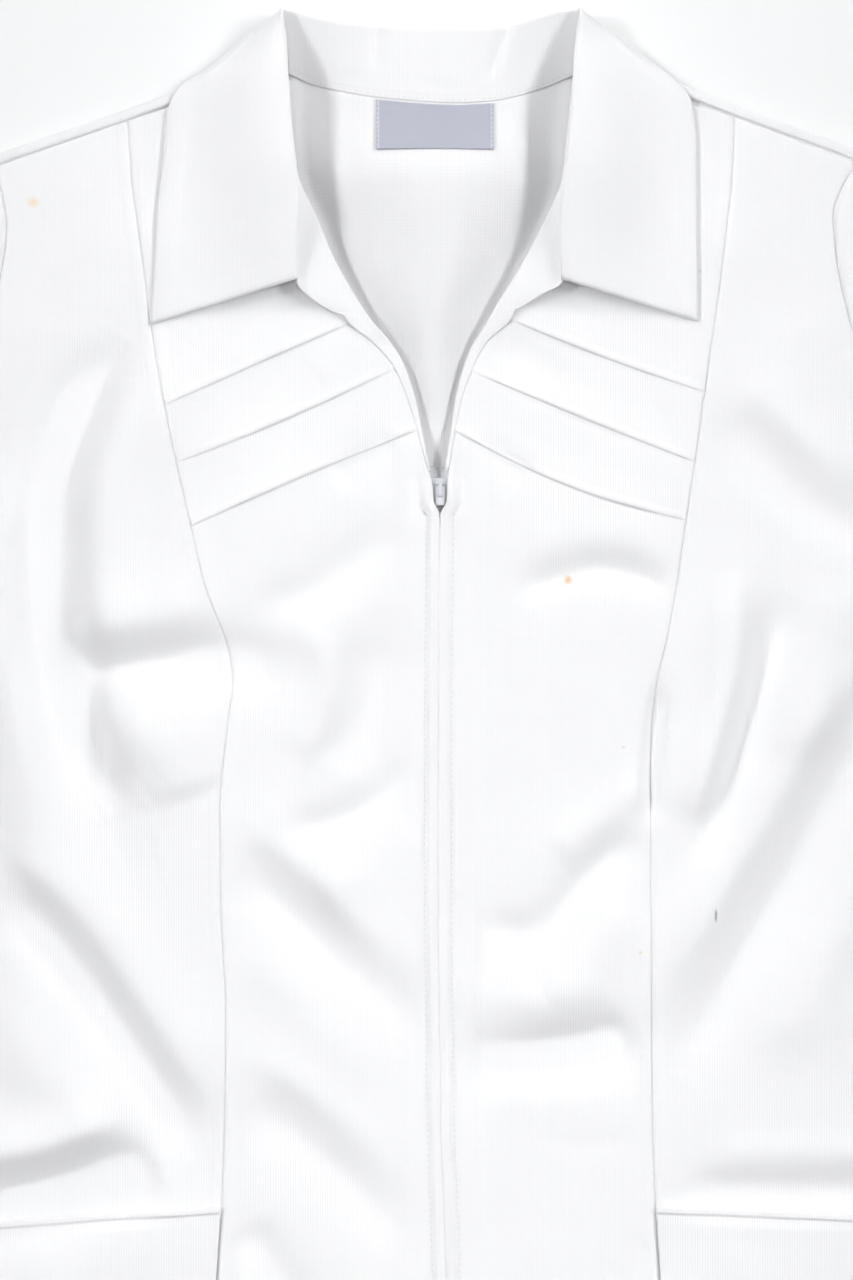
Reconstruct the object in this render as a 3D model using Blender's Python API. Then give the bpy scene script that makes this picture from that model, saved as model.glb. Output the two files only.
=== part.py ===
"""Women's zip-front uniform top with a wing collar, laid flat on its back.

The frame is the garment's own: X across it, +Y from hem to neck, +Z up from the table.
Lengths are in millimetres until a mesh is made. Left is the side at -X.
"""
from typing import NamedTuple

import bpy
import bmesh
import numpy as np
from mathutils import Matrix

MM = 0.001
LEFT = -1
RIGHT = 1

# Driving sizes of the cloth and of the garment
CLOTH = 1.2
SEAM_GAP = 0.3
LAYER_GAP = 0.3
FRONT_BASE = CLOTH + LAYER_GAP
NECK_TOP_Y = 381.5
HEM_Y = -381.5
HEM_CURVE = 7.0
HALF_HEM = 268.0
LEFT_SLOPE = 0.344
RIGHT_SLOPE = 0.366
SHOULDER_TIP_Y = 312.0
UNDERARM_Y = 110.0
POCKET_Y = -188.0

# The collar's turned-over fall lies under the back's neck and lifts it
FALL_THICK = 1.4
BACK_LIFT = 1.8
FRONT_LIFT = 2.5
COLLAR_THICK = 1.7

# Loose air between front and back, how fast it goes at an edge, and how much more there is
# away from the zip, where the folds are deeper too
PUFF = 2.4
PUFF_EDGE = 42.0
FOLD_FLOOR = 0.4
PUFF_SWELL = 0.8
FOLD_SWELL = 0.8
ZIP_CALM = 16.0
SWELL_REACH = 34.0

# The standing band with its ends, which stand higher, and the fall behind it
BAND_FOOT = 0.8
BAND_STAND = 9.4
BAND_END_STAND = 3.4
BAND_END_FOOT = 1.6
FALL_STAND = 9.0
FALL_CURL_START = 0.62

# A collar leaf over the front: its gap, and how its outer edge and its roll line dip
LEAF_GAP = 0.6
LEAF_DROP_START = 0.78
LEAF_ROLL_DIP = 0.9
LEAF_ROLL_SHARE = 0.08
LEAF_EDGE_THIN = 0.5

# The raised middle of the back inside the open neck, and where it ends at the zip
NECK_RIDGE = 4.4
RIDGE_REACH = 24.0
RIDGE_SHARE = 0.62
RIDGE_FOOT_Y = 165.0
RIDGE_FOOT_FADE = 40.0
RIDGE_SEAM_Y = 296.0
RIDGE_SEAM_FADE = 30.0

# Where the collar's fall starts to lift the back and the front, and how far out it goes
BACK_LIFT_Y = 292.0
FRONT_LIFT_Y = 268.0
LIFT_MIDDLE_X = -3.0
LIFT_HALF = 150.0
LIFT_FADE = 20.0

# A pressed tuck's rise at its folded edge, and how far up it fades
TUCK_RISE = 1.7
TUCK_DEPTH = 15.0

# Gaps between the facing's narrow strip and the front, and at the armhole
STRIP_GAP = 1.3
ARMHOLE_GAP = 0.7
FACING_LIFT = 0.5

# A pocket's hem at its mouth, and how far in from its seams it lies tight
POCKET_HEM = 3.2
POCKET_HEM_THICK = 0.9
POCKET_TIGHT = 25.0

# The neck label
LABEL_LEFT_X = -29.0
LABEL_RIGHT_X = 27.0
LABEL_FOOT_Y = 313.8
LABEL_GAP = 0.8
LABEL_THICK = 0.7

# Zip
TAPE_WIDTH = 14.0
TAPE_THICK = 1.0
TAPE_LIFT = 1.3
ZIP_TOP_Y = 150.0
SLIDER_X = 1.5
SLIDER_HALF = 3.9
SLIDER_LENGTH = 11.0
SLIDER_THICK = 1.2
SLIDER_LIFT = 0.3
BRIDGE_HALF = 0.8
PIN_RADIUS = 0.5
PULL_AXIS_Y = 155.6
PULL_AXIS_Z = 5.6
PULL_HALF = 2.1
PULL_LENGTH = 10.0
PULL_HALF_THICK = 0.55
EYE_RADIUS = 1.15
HOLE_RADIUS = 0.8


class Station(NamedTuple):
    """One place on an edge that runs up the garment."""
    y: float
    x: float


class Guide(NamedTuple):
    """One row of a front panel, from its inner edge to its outer edge."""
    inner_y: float
    outer_y: float
    bow: float
    rows_below: int
    tuck: bool


class CollarRow(NamedTuple):
    """One row of a collar leaf, from the roll line out to its edge."""
    roll_x: float
    roll_y: float
    edge_x: float
    edge_y: float
    roll_rise: float
    edge_drop: float


class FacingRow(NamedTuple):
    """One row of the neck facing, from the V edge out under the collar leaf."""
    inner_y: float
    outer_x: float
    outer_y: float
    outer_rise: float


class Fold(NamedTuple):
    """A soft ridge (rise above 0) or trough (below 0) and the points it runs through."""
    rise: float
    width: float
    route: tuple


# Edges of the cut pieces, from the hem up
SIDE_EDGE = {
    LEFT: [Station(-381, -268), Station(-300, -263), Station(-200, -252), Station(-120, -236),
           Station(-55, -228), Station(10, -234), Station(70, -246), Station(110, -252),
           Station(135, -244.5), Station(165, -232), Station(215, -216), Station(255, -208),
           Station(278, -205.2), Station(294, -207.6), Station(312, -213)],
    RIGHT: [Station(-381, 268), Station(-300, 263), Station(-200, 252), Station(-120, 236),
            Station(-55, 228), Station(10, 234), Station(70, 244), Station(110, 248),
            Station(132, 240), Station(160, 225), Station(195, 208), Station(229, 198.1),
            Station(248, 193.3), Station(267, 190), Station(284, 188.8), Station(298, 193.5),
            Station(312, 203.5)],
}
PRINCESS_SEAM = {
    LEFT: [Station(-381, -116), Station(-222, -105), Station(-201, -103.5), Station(-161, -101.5),
           Station(-100, -100.4), Station(-40, -103), Station(0, -103.3), Station(45, -99),
           Station(60, -97.2), Station(73, -98.6), Station(108, -110.5), Station(136, -117.1),
           Station(168, -124.3), Station(191, -129), Station(231, -136.2), Station(262, -140),
           Station(298, -145.3), Station(328, -147.6), Station(336, -148.6)],
    RIGHT: [Station(-381, 117), Station(-222, 106.2), Station(-201, 104.8), Station(-148, 102.4),
            Station(-60, 101.9), Station(14, 101.5), Station(38, 101.9), Station(56, 103.8),
            Station(94, 111.9), Station(136, 118.1), Station(181, 124.8), Station(222, 130.5),
            Station(260, 135.7), Station(302, 140.5), Station(330, 142), Station(338, 141.5)],
}
# The front's own edge at the neck and down the zip
FRONT_EDGE = {
    LEFT: [Station(-381, 4.3), Station(-222, 4.0), Station(-201, 3.5), Station(-147, 1.6),
           Station(-22, 0.25), Station(29, 0.25), Station(120, 1.0), Station(136, 1.1),
           Station(140, 0.2), Station(144, -1.4), Station(151, -1.9), Station(157, -2.6),
           Station(165, -5.0), Station(181, -9.5), Station(197, -14.2), Station(211, -20.6),
           Station(219, -26.7), Station(226, -34.3), Station(233, -42.9), Station(245, -47),
           Station(263, -54.5), Station(282, -62.5), Station(300, -70), Station(320, -73.5),
           Station(354, -76.5)],
    RIGHT: [Station(-381, 4.8), Station(-222, 4.5), Station(-201, 4.0), Station(-147, 2.1),
            Station(-22, 0.75), Station(29, 0.75), Station(120, 1.5), Station(136, 1.6),
            Station(140, 2.6), Station(144, 4.3), Station(151, 4.8), Station(157, 5.4),
            Station(165, 6.7), Station(181, 8.8), Station(196, 11.6), Station(210, 16.6),
            Station(224, 24.3), Station(234, 35.5), Station(245, 39.5), Station(256, 44.5),
            Station(270, 52), Station(286, 60), Station(300, 65), Station(320, 68),
            Station(354, 71.5)],
}
V_EDGE = {
    LEFT: [Station(158, -1.6), Station(164, -3.4), Station(181, -7.1), Station(193, -9.6),
           Station(207, -13.6), Station(218, -18.6), Station(227, -25.4), Station(235, -32.4),
           Station(245, -38.8), Station(263, -49), Station(282, -57), Station(295, -63.3),
           Station(305, -67.1), Station(320, -69), Station(350, -70)],
    RIGHT: [Station(158, 4.5), Station(169, 5.5), Station(182, 6.8), Station(198, 9.2),
            Station(210, 12.2), Station(222, 17.2), Station(232, 23.6), Station(244, 30.4),
            Station(256, 38.1), Station(270, 45.7), Station(286, 53.8), Station(299, 59),
            Station(315, 60.8), Station(350, 64.5)],
}
NECK_SEAM = [Station(-76, 352), Station(-69.5, 350.3), Station(-60.5, 346.2), Station(-51.4, 343.6),
             Station(-39.5, 341), Station(-28, 339), Station(-3.3, 336.7), Station(7.6, 336.3),
             Station(24.8, 337.2), Station(38, 340), Station(51, 344.3), Station(64.3, 349.8),
             Station(72, 352)]
BAND_TOP = [Station(-72.4, 381), Station(-58.1, 377.6), Station(-41, 374.8), Station(-25.2, 373.3),
            Station(-3.3, 372.4), Station(18, 372), Station(33.8, 373), Station(44.3, 376.2),
            Station(55.2, 379.6), Station(66.8, 381)]
FALL_EDGE = [Station(-118, 343), Station(-108, 331), Station(-90, 320), Station(-50, 312),
             Station(-4, 309), Station(42, 312), Station(84, 320), Station(102, 331),
             Station(112, 343)]

# Rows of the panels, from the shoulder down
CENTRE_ROWS = {
    LEFT: [Guide(350.5, 328.9, 0, 6, False), Guide(231.9, 192.9, 0.6, 3, True),
           Guide(210.5, 165.7, -1.6, 3, True), Guide(181.4, 135.7, 1.0, 2, True),
           Guide(158, 122, 0, 1, False), Guide(147, 115, 0, 1, False), Guide(137, 109, 0, 2, False),
           Guide(110, 92, 0, 3, False), Guide(70, 66, 0, 3, False),
           Guide(30, 30, 0, 6, False), Guide(-60, -60, 0, 8, False),
           Guide(POCKET_Y, POCKET_Y, 0, 8, False), Guide(HEM_Y, HEM_Y + 1, 0, 0, False)],
    RIGHT: [Guide(350.5, 330.3, 0, 6, False), Guide(233.8, 199.5, -1.2, 3, True),
            Guide(209.5, 166.2, -0.6, 3, True), Guide(181.0, 138.6, -5.4, 2, True),
            Guide(158, 124, -2, 1, False), Guide(147, 116, -1, 1, False), Guide(137, 109, 0, 2, False),
            Guide(110, 92, 0, 3, False), Guide(70, 66, 0, 3, False),
            Guide(30, 30, 0, 6, False), Guide(-60, -60, 0, 8, False),
            Guide(POCKET_Y, POCKET_Y, 0, 8, False), Guide(HEM_Y, HEM_Y + 1, 0, 0, False)],
}
SIDE_ROWS = {
    LEFT: [Guide(328.9, 306.6, 0, 8, False), Guide(215, 205, 0, 8, False), Guide(110, 110, 0, 12, False),
           Guide(-60, -60, 0, 9, False), Guide(POCKET_Y, -199, 0, 10, False),
           Guide(HEM_Y + 1, HEM_Y + HEM_CURVE, 0, 0, False)],
    RIGHT: [Guide(330.3, 306.4, 1.2, 8, False), Guide(215, 205, 0, 8, False), Guide(110, 110, 0, 12, False),
            Guide(-60, -60, 0, 9, False), Guide(POCKET_Y, -194, 0, 10, False),
            Guide(HEM_Y + 1, HEM_Y + HEM_CURVE, 0, 0, False)],
}
CENTRE_COLUMNS = [0, 0.07, 0.15, 0.26, 0.39, 0.52, 0.65, 0.78, 0.9, 1]
SIDE_COLUMNS = [k / 11 for k in range(12)]

# The largest folds of the front: dark troughs and the ridges beside them
FRONT_FOLDS = [
    Fold(-3.4, 12, ((-140, 224), (-165, 200), (-180, 150), (-178, 95), (-165, 40), (-150, -8))),
    Fold(3.2, 11, ((-150, 180), (-158, 140), (-158, 100), (-150, 80))),
    Fold(2.4, 13, ((-203, 150), (-203, 90), (-190, 30))),
    Fold(2.8, 12, ((-168, 88), (-135, 90), (-108, 96))),
    Fold(-3.0, 10, ((-178, 66), (-146, 68), (-118, 74), (-94, 71), (-70, 64))),
    Fold(2.2, 16, ((-150, 40), (-130, 30), (-118, 5))),
    Fold(-2.8, 11, ((-215, -38), (-184, -68), (-141, -124), (-112, -170))),
    Fold(2.2, 14, ((-220, -80), (-185, -120), (-150, -150))),
    Fold(-2.6, 8, ((-230, -186), (-189, -178), (-160, -168), (-134, -156))),
    Fold(-2.0, 9, ((-18, 134), (-44, 114), (-66, 99), (-86, 98))),
    Fold(1.8, 10, ((-15, 112), (-40, 92), (-70, 80))),
    Fold(-2.0, 11, ((-26, 82), (-31, 52), (-44, 18))),
    Fold(-2.4, 9, ((-10, 25), (-43, -3), (-74, -11))),
    Fold(1.8, 10, ((-8, -6), (-36, -28), (-60, -34))),
    Fold(-2.6, 11, ((-95, -26), (-60, -58), (-25, -88), (-6, -108))),
    Fold(2.0, 13, ((-88, -62), (-55, -98), (-20, -125))),
    Fold(-1.8, 12, ((-92, -138), (-60, -162), (-14, -205))),
    Fold(-2.0, 10, ((-92, -196), (-78, -216), (-60, -240))),
    Fold(-2.8, 7, ((36, 103), (59, 111), (78, 115), (97, 112), (113, 103))),
    Fold(2.6, 9, ((40, 128), (75, 132), (106, 126))),
    Fold(2.0, 14, ((52, 78), (75, 88), (98, 76))),
    Fold(-2.6, 9, ((96, -10), (72, -28), (57, -50), (42, -60), (16, -54))),
    Fold(2.2, 12, ((92, -42), (74, -66), (50, -84))),
    Fold(-3.4, 8, ((6, -110), (34, -111), (66, -107), (96, -99))),
    Fold(2.6, 10, ((12, -90), (50, -90), (86, -80))),
    Fold(1.8, 12, ((14, -135), (50, -132), (84, -126))),
    Fold(-2.4, 12, ((138, 190), (157, 164), (185, 142), (215, 132))),
    Fold(-3.0, 8, ((168, 104), (157, 70), (146, 32), (136, 4), (125, -26))),
    Fold(3.0, 9, ((140, 112), (141, 70), (132, 30), (122, -6))),
    Fold(-2.8, 12, ((212, 50), (181, -14), (150, -68), (110, -130))),
    Fold(2.4, 13, ((216, -10), (190, -60), (150, -118))),
    Fold(-2.2, 8, ((118, -182), (160, -182), (225, -180))),
    Fold(-1.8, 16, ((-172, 300), (-185, 265), (-190, 230))),
    Fold(-1.8, 16, ((160, 298), (166, 260), (178, 232))),
]
PUCKERS = [
    Fold(1.5, 5.5, ((-6, 158), (-5, 148), (-3, 140))),
    Fold(1.5, 5.5, ((9, 158), (8, 148), (6, 140))),
]
POCKET_FOLDS = [
    Fold(1.6, 14, ((-185, -205), (-180, -250), (-176, -300))),
    Fold(1.6, 14, ((150, -205), (152, -250), (158, -300))),
]
BAND_CREASES = [
    Fold(-2.4, 3.2, ((-29, 376), (-28, 366), (-29, 356))),
    Fold(-2.4, 3.4, ((35, 378), (30, 362), (24, 348))),
    Fold(1.2, 7, ((-50, 378), (-48, 362), (-46, 348))),
    Fold(1.0, 8, ((4, 376), (2, 360), (2, 344))),
]

LEAF_ROWS = {
    LEFT: [CollarRow(-72.9, 381.5, -75.6, 380.4, 9.4, 6.6), CollarRow(-72.2, 374, -92, 368.8, 9.6, 6.6),
           CollarRow(-71.2, 366, -108.5, 354.4, 9.8, 4.4), CollarRow(-70.6, 357, -121.9, 345, 10.0, 1.0),
           CollarRow(-70, 345, -128.1, 333.8, 10.2, 0), CollarRow(-69, 329, -130, 313.3, 10.2, 0),
           CollarRow(-66.8, 310, -132.3, 292, 10.2, 0), CollarRow(-64.8, 290, -133.8, 268, 10.0, 0),
           CollarRow(-65.8, 271, -135, 248, 9.8, 0), CollarRow(-65.9, 252.6, -136.2, 231.2, 9.6, 0)],
    RIGHT: [CollarRow(67.6, 381.5, 70.4, 380.4, 9.4, 6.6), CollarRow(66.4, 374, 83.4, 371.6, 9.6, 6.6),
            CollarRow(65.4, 366, 97.8, 360.8, 9.8, 5.0), CollarRow(64.6, 357, 111.2, 349.8, 10.0, 0.6),
            CollarRow(63.9, 345, 121, 337.6, 10.2, 0), CollarRow(62.9, 329, 123.2, 318, 10.2, 0),
            CollarRow(61.2, 310, 123.4, 297, 10.2, 0), CollarRow(58.8, 290, 123.4, 275, 10.0, 0),
            CollarRow(58.3, 271, 123.8, 253, 9.8, 0), CollarRow(58.9, 252.4, 123.9, 232.6, 9.6, 0)],
}
LEAF_COLUMNS = [0, 0.05, 0.16, 0.3, 0.45, 0.6, 0.75, 0.9, 1]

FACING_ROWS = {
    LEFT: [FacingRow(347, -75.5, 349, 5.8), FacingRow(328, -74.5, 331, 6.0),
           FacingRow(310, -72.5, 313, 6.2), FacingRow(292, -70.5, 295, 6.4),
           FacingRow(275, -69.5, 277, 6.2), FacingRow(259, -68.5, 262, 6.2),
           FacingRow(247, -66.5, 250.6, 6.2), FacingRow(241, -58.6, 242.6, 4.0),
           FacingRow(236, -51.4, 237.8, 1.6)],
    RIGHT: [FacingRow(347, 69.5, 349, 5.8), FacingRow(328, 67.5, 331, 6.0),
            FacingRow(310, 66, 313, 6.2), FacingRow(292, 64.4, 295, 6.4),
            FacingRow(275, 63, 277, 6.2), FacingRow(261, 61.5, 264, 6.2),
            FacingRow(249, 59.6, 251.2, 6.2), FacingRow(244, 50, 245.4, 4.0),
            FacingRow(239, 42.5, 240.6, 1.6)],
}
FACING_STRIP_YS = [230, 221, 212, 202, 191, 180, 170, 162]
FACING_COLUMNS = [0, 0.3, 0.6, 0.85, 1]

# The back: places of its columns at the shoulder, and of its rows. Its folded edge on the
# shoulder starts at ROLL_FOOT, stands at ROLL_WALL and turns down after ROLL_CROWN.
BACK_COLUMN_XS = [-213, -182, -153, -130, -110, -91, -79, -73.5, -58, -42, -27, -12, 3, 18, 33, 46, 58,
                  69.5, 75.5, 95, 120, 146, 166, 186, 203.5]
ROLL_FOOT = 306.8
ROLL_WALL = 307.2
ROLL_CROWN = 311.2
BACK_LEVELS = [HEM_Y, -300, -200, -100, 0, 60, 110, 140, 160, 178, 194, 210, 225, 240, 254, 267, 279,
               290, 299, 306.1, ROLL_FOOT, ROLL_WALL, ROLL_CROWN, SHOULDER_TIP_Y]

# Sleeves: where the top fold and the underarm seam end at the cuff
CUFF_TOP = (368.0, 184.0)
CUFF_UNDER = (274.0, 58.0)
SLEEVE_PUFF = 2.6
SLEEVE_ROWS = 6
SLEEVE_ACROSS = [0.04, 0.09, 0.15, 0.22, 0.32, 0.45, 0.6, 0.75, 0.88, 0.95]

FINISHES = {
    "cloth": ((0.90, 0.905, 0.93, 1), 0.85, 0.0),
    "tape": ((0.86, 0.87, 0.89, 1), 0.8, 0.0),
    "label": ((0.63, 0.63, 0.70, 1), 0.6, 0.0),
    "zip_metal": ((0.80, 0.81, 0.84, 1), 0.35, 0.2),
}


def through(stations, at):
    """Smooth curve through a table of stations: x at the given y."""
    ys = np.array([station.y for station in stations], dtype=float)
    xs = np.array([station.x for station in stations], dtype=float)
    if ys[0] > ys[-1]:
        ys, xs = ys[::-1], xs[::-1]
    return bend(ys, xs, at)


def bend(ts, values, at):
    """Cubic curve through (ts, values) that never swings past its own points."""
    at = np.clip(np.asarray(at, dtype=float), ts[0], ts[-1])
    step = np.diff(ts)
    grade = np.diff(values) / step
    slope = np.zeros(len(ts))
    slope[0], slope[-1] = grade[0], grade[-1]
    same_way = grade[1:] * grade[:-1] > 0
    blend = 2 * grade[1:] * grade[:-1] / np.where(same_way, grade[1:] + grade[:-1], 1)
    slope[1:-1] = np.where(same_way, blend, 0)
    k = np.clip(np.searchsorted(ts, at, side="right") - 1, 0, len(ts) - 2)
    h = step[k]
    s = (at - ts[k]) / h
    return ((1 + 2 * s) * (1 - s) ** 2 * values[k] + s * (1 - s) ** 2 * h * slope[k]
            + s * s * (3 - 2 * s) * values[k + 1] + s * s * (s - 1) * h * slope[k + 1])


def across(rows, at):
    """Height of an edge that runs across the garment: y at the given x."""
    xs = np.array([row.y for row in rows], dtype=float)
    ys = np.array([row.x for row in rows], dtype=float)
    return bend(xs, ys, at)


def ease(value):
    """0 to 1 with soft ends."""
    value = np.clip(value, 0, 1)
    return value * value * (3 - 2 * value)


def fold_height(folds, x, y):
    """Sum of the ridges and troughs at the given points."""
    total = np.zeros(np.shape(x))
    for fold in folds:
        route = np.array(fold.route, dtype=float)
        knots = np.linspace(0, 1, len(route))
        fine = np.linspace(0, 1, 25)
        line_x = bend(knots, route[:, 0], fine)
        line_y = bend(knots, route[:, 1], fine)
        off = np.hypot(x[..., None] - line_x, y[..., None] - line_y)
        nearest = np.argmin(off, axis=-1)
        along = fine[nearest]
        gap = np.take_along_axis(off, nearest[..., None], axis=-1)[..., 0]
        fade = ease(4 * along + 0.25) * ease(4 * (1 - along) + 0.25)
        total += fold.rise * fade * np.exp(-(gap / fold.width) ** 2)
    return total


def shoulder_y(x):
    """Outline of the shoulders, which is the back cloth's folded edge."""
    left = 334.8 - LEFT_SLOPE * (-147.1 - x)
    right = 337.1 - RIGHT_SLOPE * (x - 141.0)
    return np.where(x < -4, left, right)


def neck_ridge(x, y):
    """The back's raised middle, seen in the V of the open neck."""
    left = through(V_EDGE[LEFT], y)
    right = through(V_EDGE[RIGHT], y)
    middle = (left + right) / 2
    half = np.maximum(RIDGE_SHARE * (right - left) / 2, 1.0)
    reach = np.minimum(half, RIDGE_REACH)
    dome = np.clip(1 - ((x - middle) / reach) ** 2, 0, 1)
    height = NECK_RIDGE * (reach / RIDGE_REACH) ** 0.5
    height = height * (1 - 0.5 * ease((y - RIDGE_SEAM_Y) / RIDGE_SEAM_FADE))
    return height * ease((y - RIDGE_FOOT_Y) / RIDGE_FOOT_FADE) * dome ** 1.5


def near_collar(x):
    """1 over the collar's fall and 0 beyond its ends."""
    return ease((LIFT_HALF - np.abs(x - LIFT_MIDDLE_X)) / LIFT_FADE)


def back_bottom(x, y):
    """Underside of the back: flat on the table but for the collar's fall and the neck."""
    return BACK_LIFT * ease((y - BACK_LIFT_Y) / 14) * near_collar(x) + neck_ridge(x, y)


def puff_height(x, y):
    """Loose air between the front and the back."""
    inside = ease((x - through(SIDE_EDGE[LEFT], y)) / PUFF_EDGE)
    inside = inside * ease((through(SIDE_EDGE[RIGHT], y) - x) / PUFF_EDGE)
    inside = inside * ease((y - HEM_Y) / 60) * ease((shoulder_y(x) - y) / 70)
    centre = (through(FRONT_EDGE[LEFT], y) + through(FRONT_EDGE[RIGHT], y)) / 2
    away = ease((np.abs(x - centre) - ZIP_CALM) / SWELL_REACH) * (1 - ease((y - 150) / 60))
    away = np.maximum(away, ease((np.abs(x) - 95) / 30) * (1 - ease((y - 262) / 40)))
    loose = PUFF * inside * (1 + PUFF_SWELL * away)
    loose = loose + inside * (1 + FOLD_SWELL * away) * fold_height(FRONT_FOLDS, x, y)
    return 0.5 * (loose + np.sqrt(loose * loose + FOLD_FLOOR ** 2))


def front_bottom(x, y):
    """Underside of the front panels."""
    centre = (through(FRONT_EDGE[LEFT], y) + through(FRONT_EDGE[RIGHT], y)) / 2
    near_zip = 1 - ease((np.abs(x - centre) - TAPE_WIDTH - 1) / 9)
    tape = TAPE_LIFT * near_zip * (1 - ease((y - 168) / 20))
    neck = FRONT_LIFT * ease((y - FRONT_LIFT_Y) / 26) * near_collar(x)
    slider = fold_height(PUCKERS, x, y)
    return FRONT_BASE + tape + neck + slider + puff_height(x, y)


def front_top(x, y):
    """Outer face of the front panels away from the tucks."""
    return front_bottom(x, y) + CLOTH


def finish_material(name, finish):
    """A plain Principled material for one piece."""
    colour, roughness, metallic = FINISHES[finish]
    material = bpy.data.materials.new(name)
    material.use_nodes = True
    shader = material.node_tree.nodes["Principled BSDF"]
    shader.inputs["Base Color"].default_value = colour
    shader.inputs["Roughness"].default_value = roughness
    shader.inputs["Metallic"].default_value = metallic
    return material


def add_object(name, mesh, finish):
    """Link one named solid to the scene."""
    mesh.materials.append(finish_material(name, finish))
    piece = bpy.data.objects.new(name, mesh)
    bpy.context.scene.collection.objects.link(piece)
    return piece


def solid(name, points, faces, finish="cloth"):
    """A closed solid from points in millimetres, with its faces turned outwards."""
    mesh = bpy.data.meshes.new(name)
    mesh.from_pydata([tuple(point) for point in np.asarray(points) * MM], [], faces)
    body = bmesh.new()
    body.from_mesh(mesh)
    bmesh.ops.recalc_face_normals(body, faces=body.faces)
    body.to_mesh(mesh)
    body.free()
    mesh.shade_smooth()
    mesh.set_sharp_from_angle(angle=0.9)
    return add_object(name, mesh, finish)


def wall(name, top, bottom, finish="cloth"):
    """A cloth wall between two grids of points that share rows and columns."""
    rows, columns = top.shape[:2]
    size = rows * columns
    index = np.arange(size).reshape(rows, columns)
    faces = []
    for r in range(rows - 1):
        for c in range(columns - 1):
            a, b, d, e = index[r, c], index[r, c + 1], index[r + 1, c + 1], index[r + 1, c]
            faces += [(a, b, d), (a, d, e), (size + a, size + d, size + b), (size + a, size + e, size + d)]
    rim = list(index[0, :]) + list(index[1:, -1]) + list(index[-1, -2::-1]) + list(index[-2:0:-1, 0])
    for here, there in zip(rim, rim[1:] + rim[:1]):
        faces.append((here, there, size + there, size + here))
    faces = [tuple(int(k) for k in face) for face in faces]
    return solid(name, np.concatenate([top.reshape(-1, 3), bottom.reshape(-1, 3)]), faces, finish)


def stack(x, y, z):
    """Three equal grids as one grid of points."""
    return np.stack([x, y, np.broadcast_to(z, x.shape)], axis=-1)


def spread_guides(guides):
    """Each row's two ends, bow and place in a tuck, from the shoulder down."""
    rows = []
    for here, there in zip(guides, guides[1:] + [None]):
        if here.tuck:
            for kind, shift in (("lip", 0.5), ("under", -0.1), ("foot", 0.9)):
                rows.append((here.inner_y, here.outer_y, here.bow, kind, shift))
        else:
            rows.append((here.inner_y, here.outer_y, here.bow, "plain", 0.0))
        for k in range(1, here.rows_below):
            t = k / here.rows_below
            ends = [here[j] + (there[j] - here[j]) * t for j in range(3)]
            rows.append((ends[0], ends[1], ends[2], "plain", 0.0))
    return rows


def ruled(rows, columns, inner, outer):
    """Grids of x and y for a panel ruled between two edges that run up the garment."""
    u = np.array(columns)[None, :]
    inner_y = np.array([row[0] for row in rows])
    outer_y = np.array([row[1] for row in rows])
    bow = np.array([row[2] for row in rows])[:, None]
    inner_x = (through(inner, inner_y))[:, None]
    outer_x = (through(outer, outer_y))[:, None]
    x = inner_x + (outer_x - inner_x) * u
    y = inner_y[:, None] + (outer_y - inner_y)[:, None] * u + bow * np.sin(np.pi * u)
    return x, y


def tuck_rise(rows, columns, y):
    """Extra height of the pressed tucks: highest at the folded edge, gone above it."""
    u = np.array(columns)
    ends = ease((u + 0.05) / 0.2) * (0.45 + 0.55 * ease((1.05 - u) / 0.3))
    rise = np.zeros(y.shape)
    for k, row in enumerate(rows):
        if row[3] != "lip":
            continue
        rise[k] += TUCK_RISE * ends
        for above in range(k):
            away = y[above] - y[k]
            rise[above] += TUCK_RISE * ends * np.clip(1 - away / TUCK_DEPTH, 0, 1) ** 1.3
    return rise


def centre_front(side):
    """One centre front panel: neck edge, three tucks and the lip over the zip."""
    rows = spread_guides(CENTRE_ROWS[side])
    inner = FRONT_EDGE[side]
    outer = [Station(row.y, row.x - side * SEAM_GAP / 2) for row in PRINCESS_SEAM[side]]
    x, y = ruled(rows, CENTRE_COLUMNS, inner, outer)
    low = front_bottom(x, y)
    rise = tuck_rise(rows, CENTRE_COLUMNS, y)
    top = low + CLOTH + rise
    top_y = y.copy()
    low_y = y.copy()
    for k, row in enumerate(rows):
        top_y[k] += row[4]
        if row[3] == "lip":
            low_y[k] += 0.7
        if row[3] == "under":
            top[k] += 0.3
        if row[3] == "foot":
            low_y[k] -= 0.7
    name = "centre_front_left" if side == LEFT else "centre_front_right"
    return wall(name, stack(x, top_y, top), stack(x, low_y, low))


def side_front_grid(side):
    """Points of a side front panel's underside."""
    rows = spread_guides(SIDE_ROWS[side])
    inner = [Station(row.y, row.x + side * SEAM_GAP / 2) for row in PRINCESS_SEAM[side]]
    x, y = ruled(rows, SIDE_COLUMNS, inner, SIDE_EDGE[side])
    return rows, x, y


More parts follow.
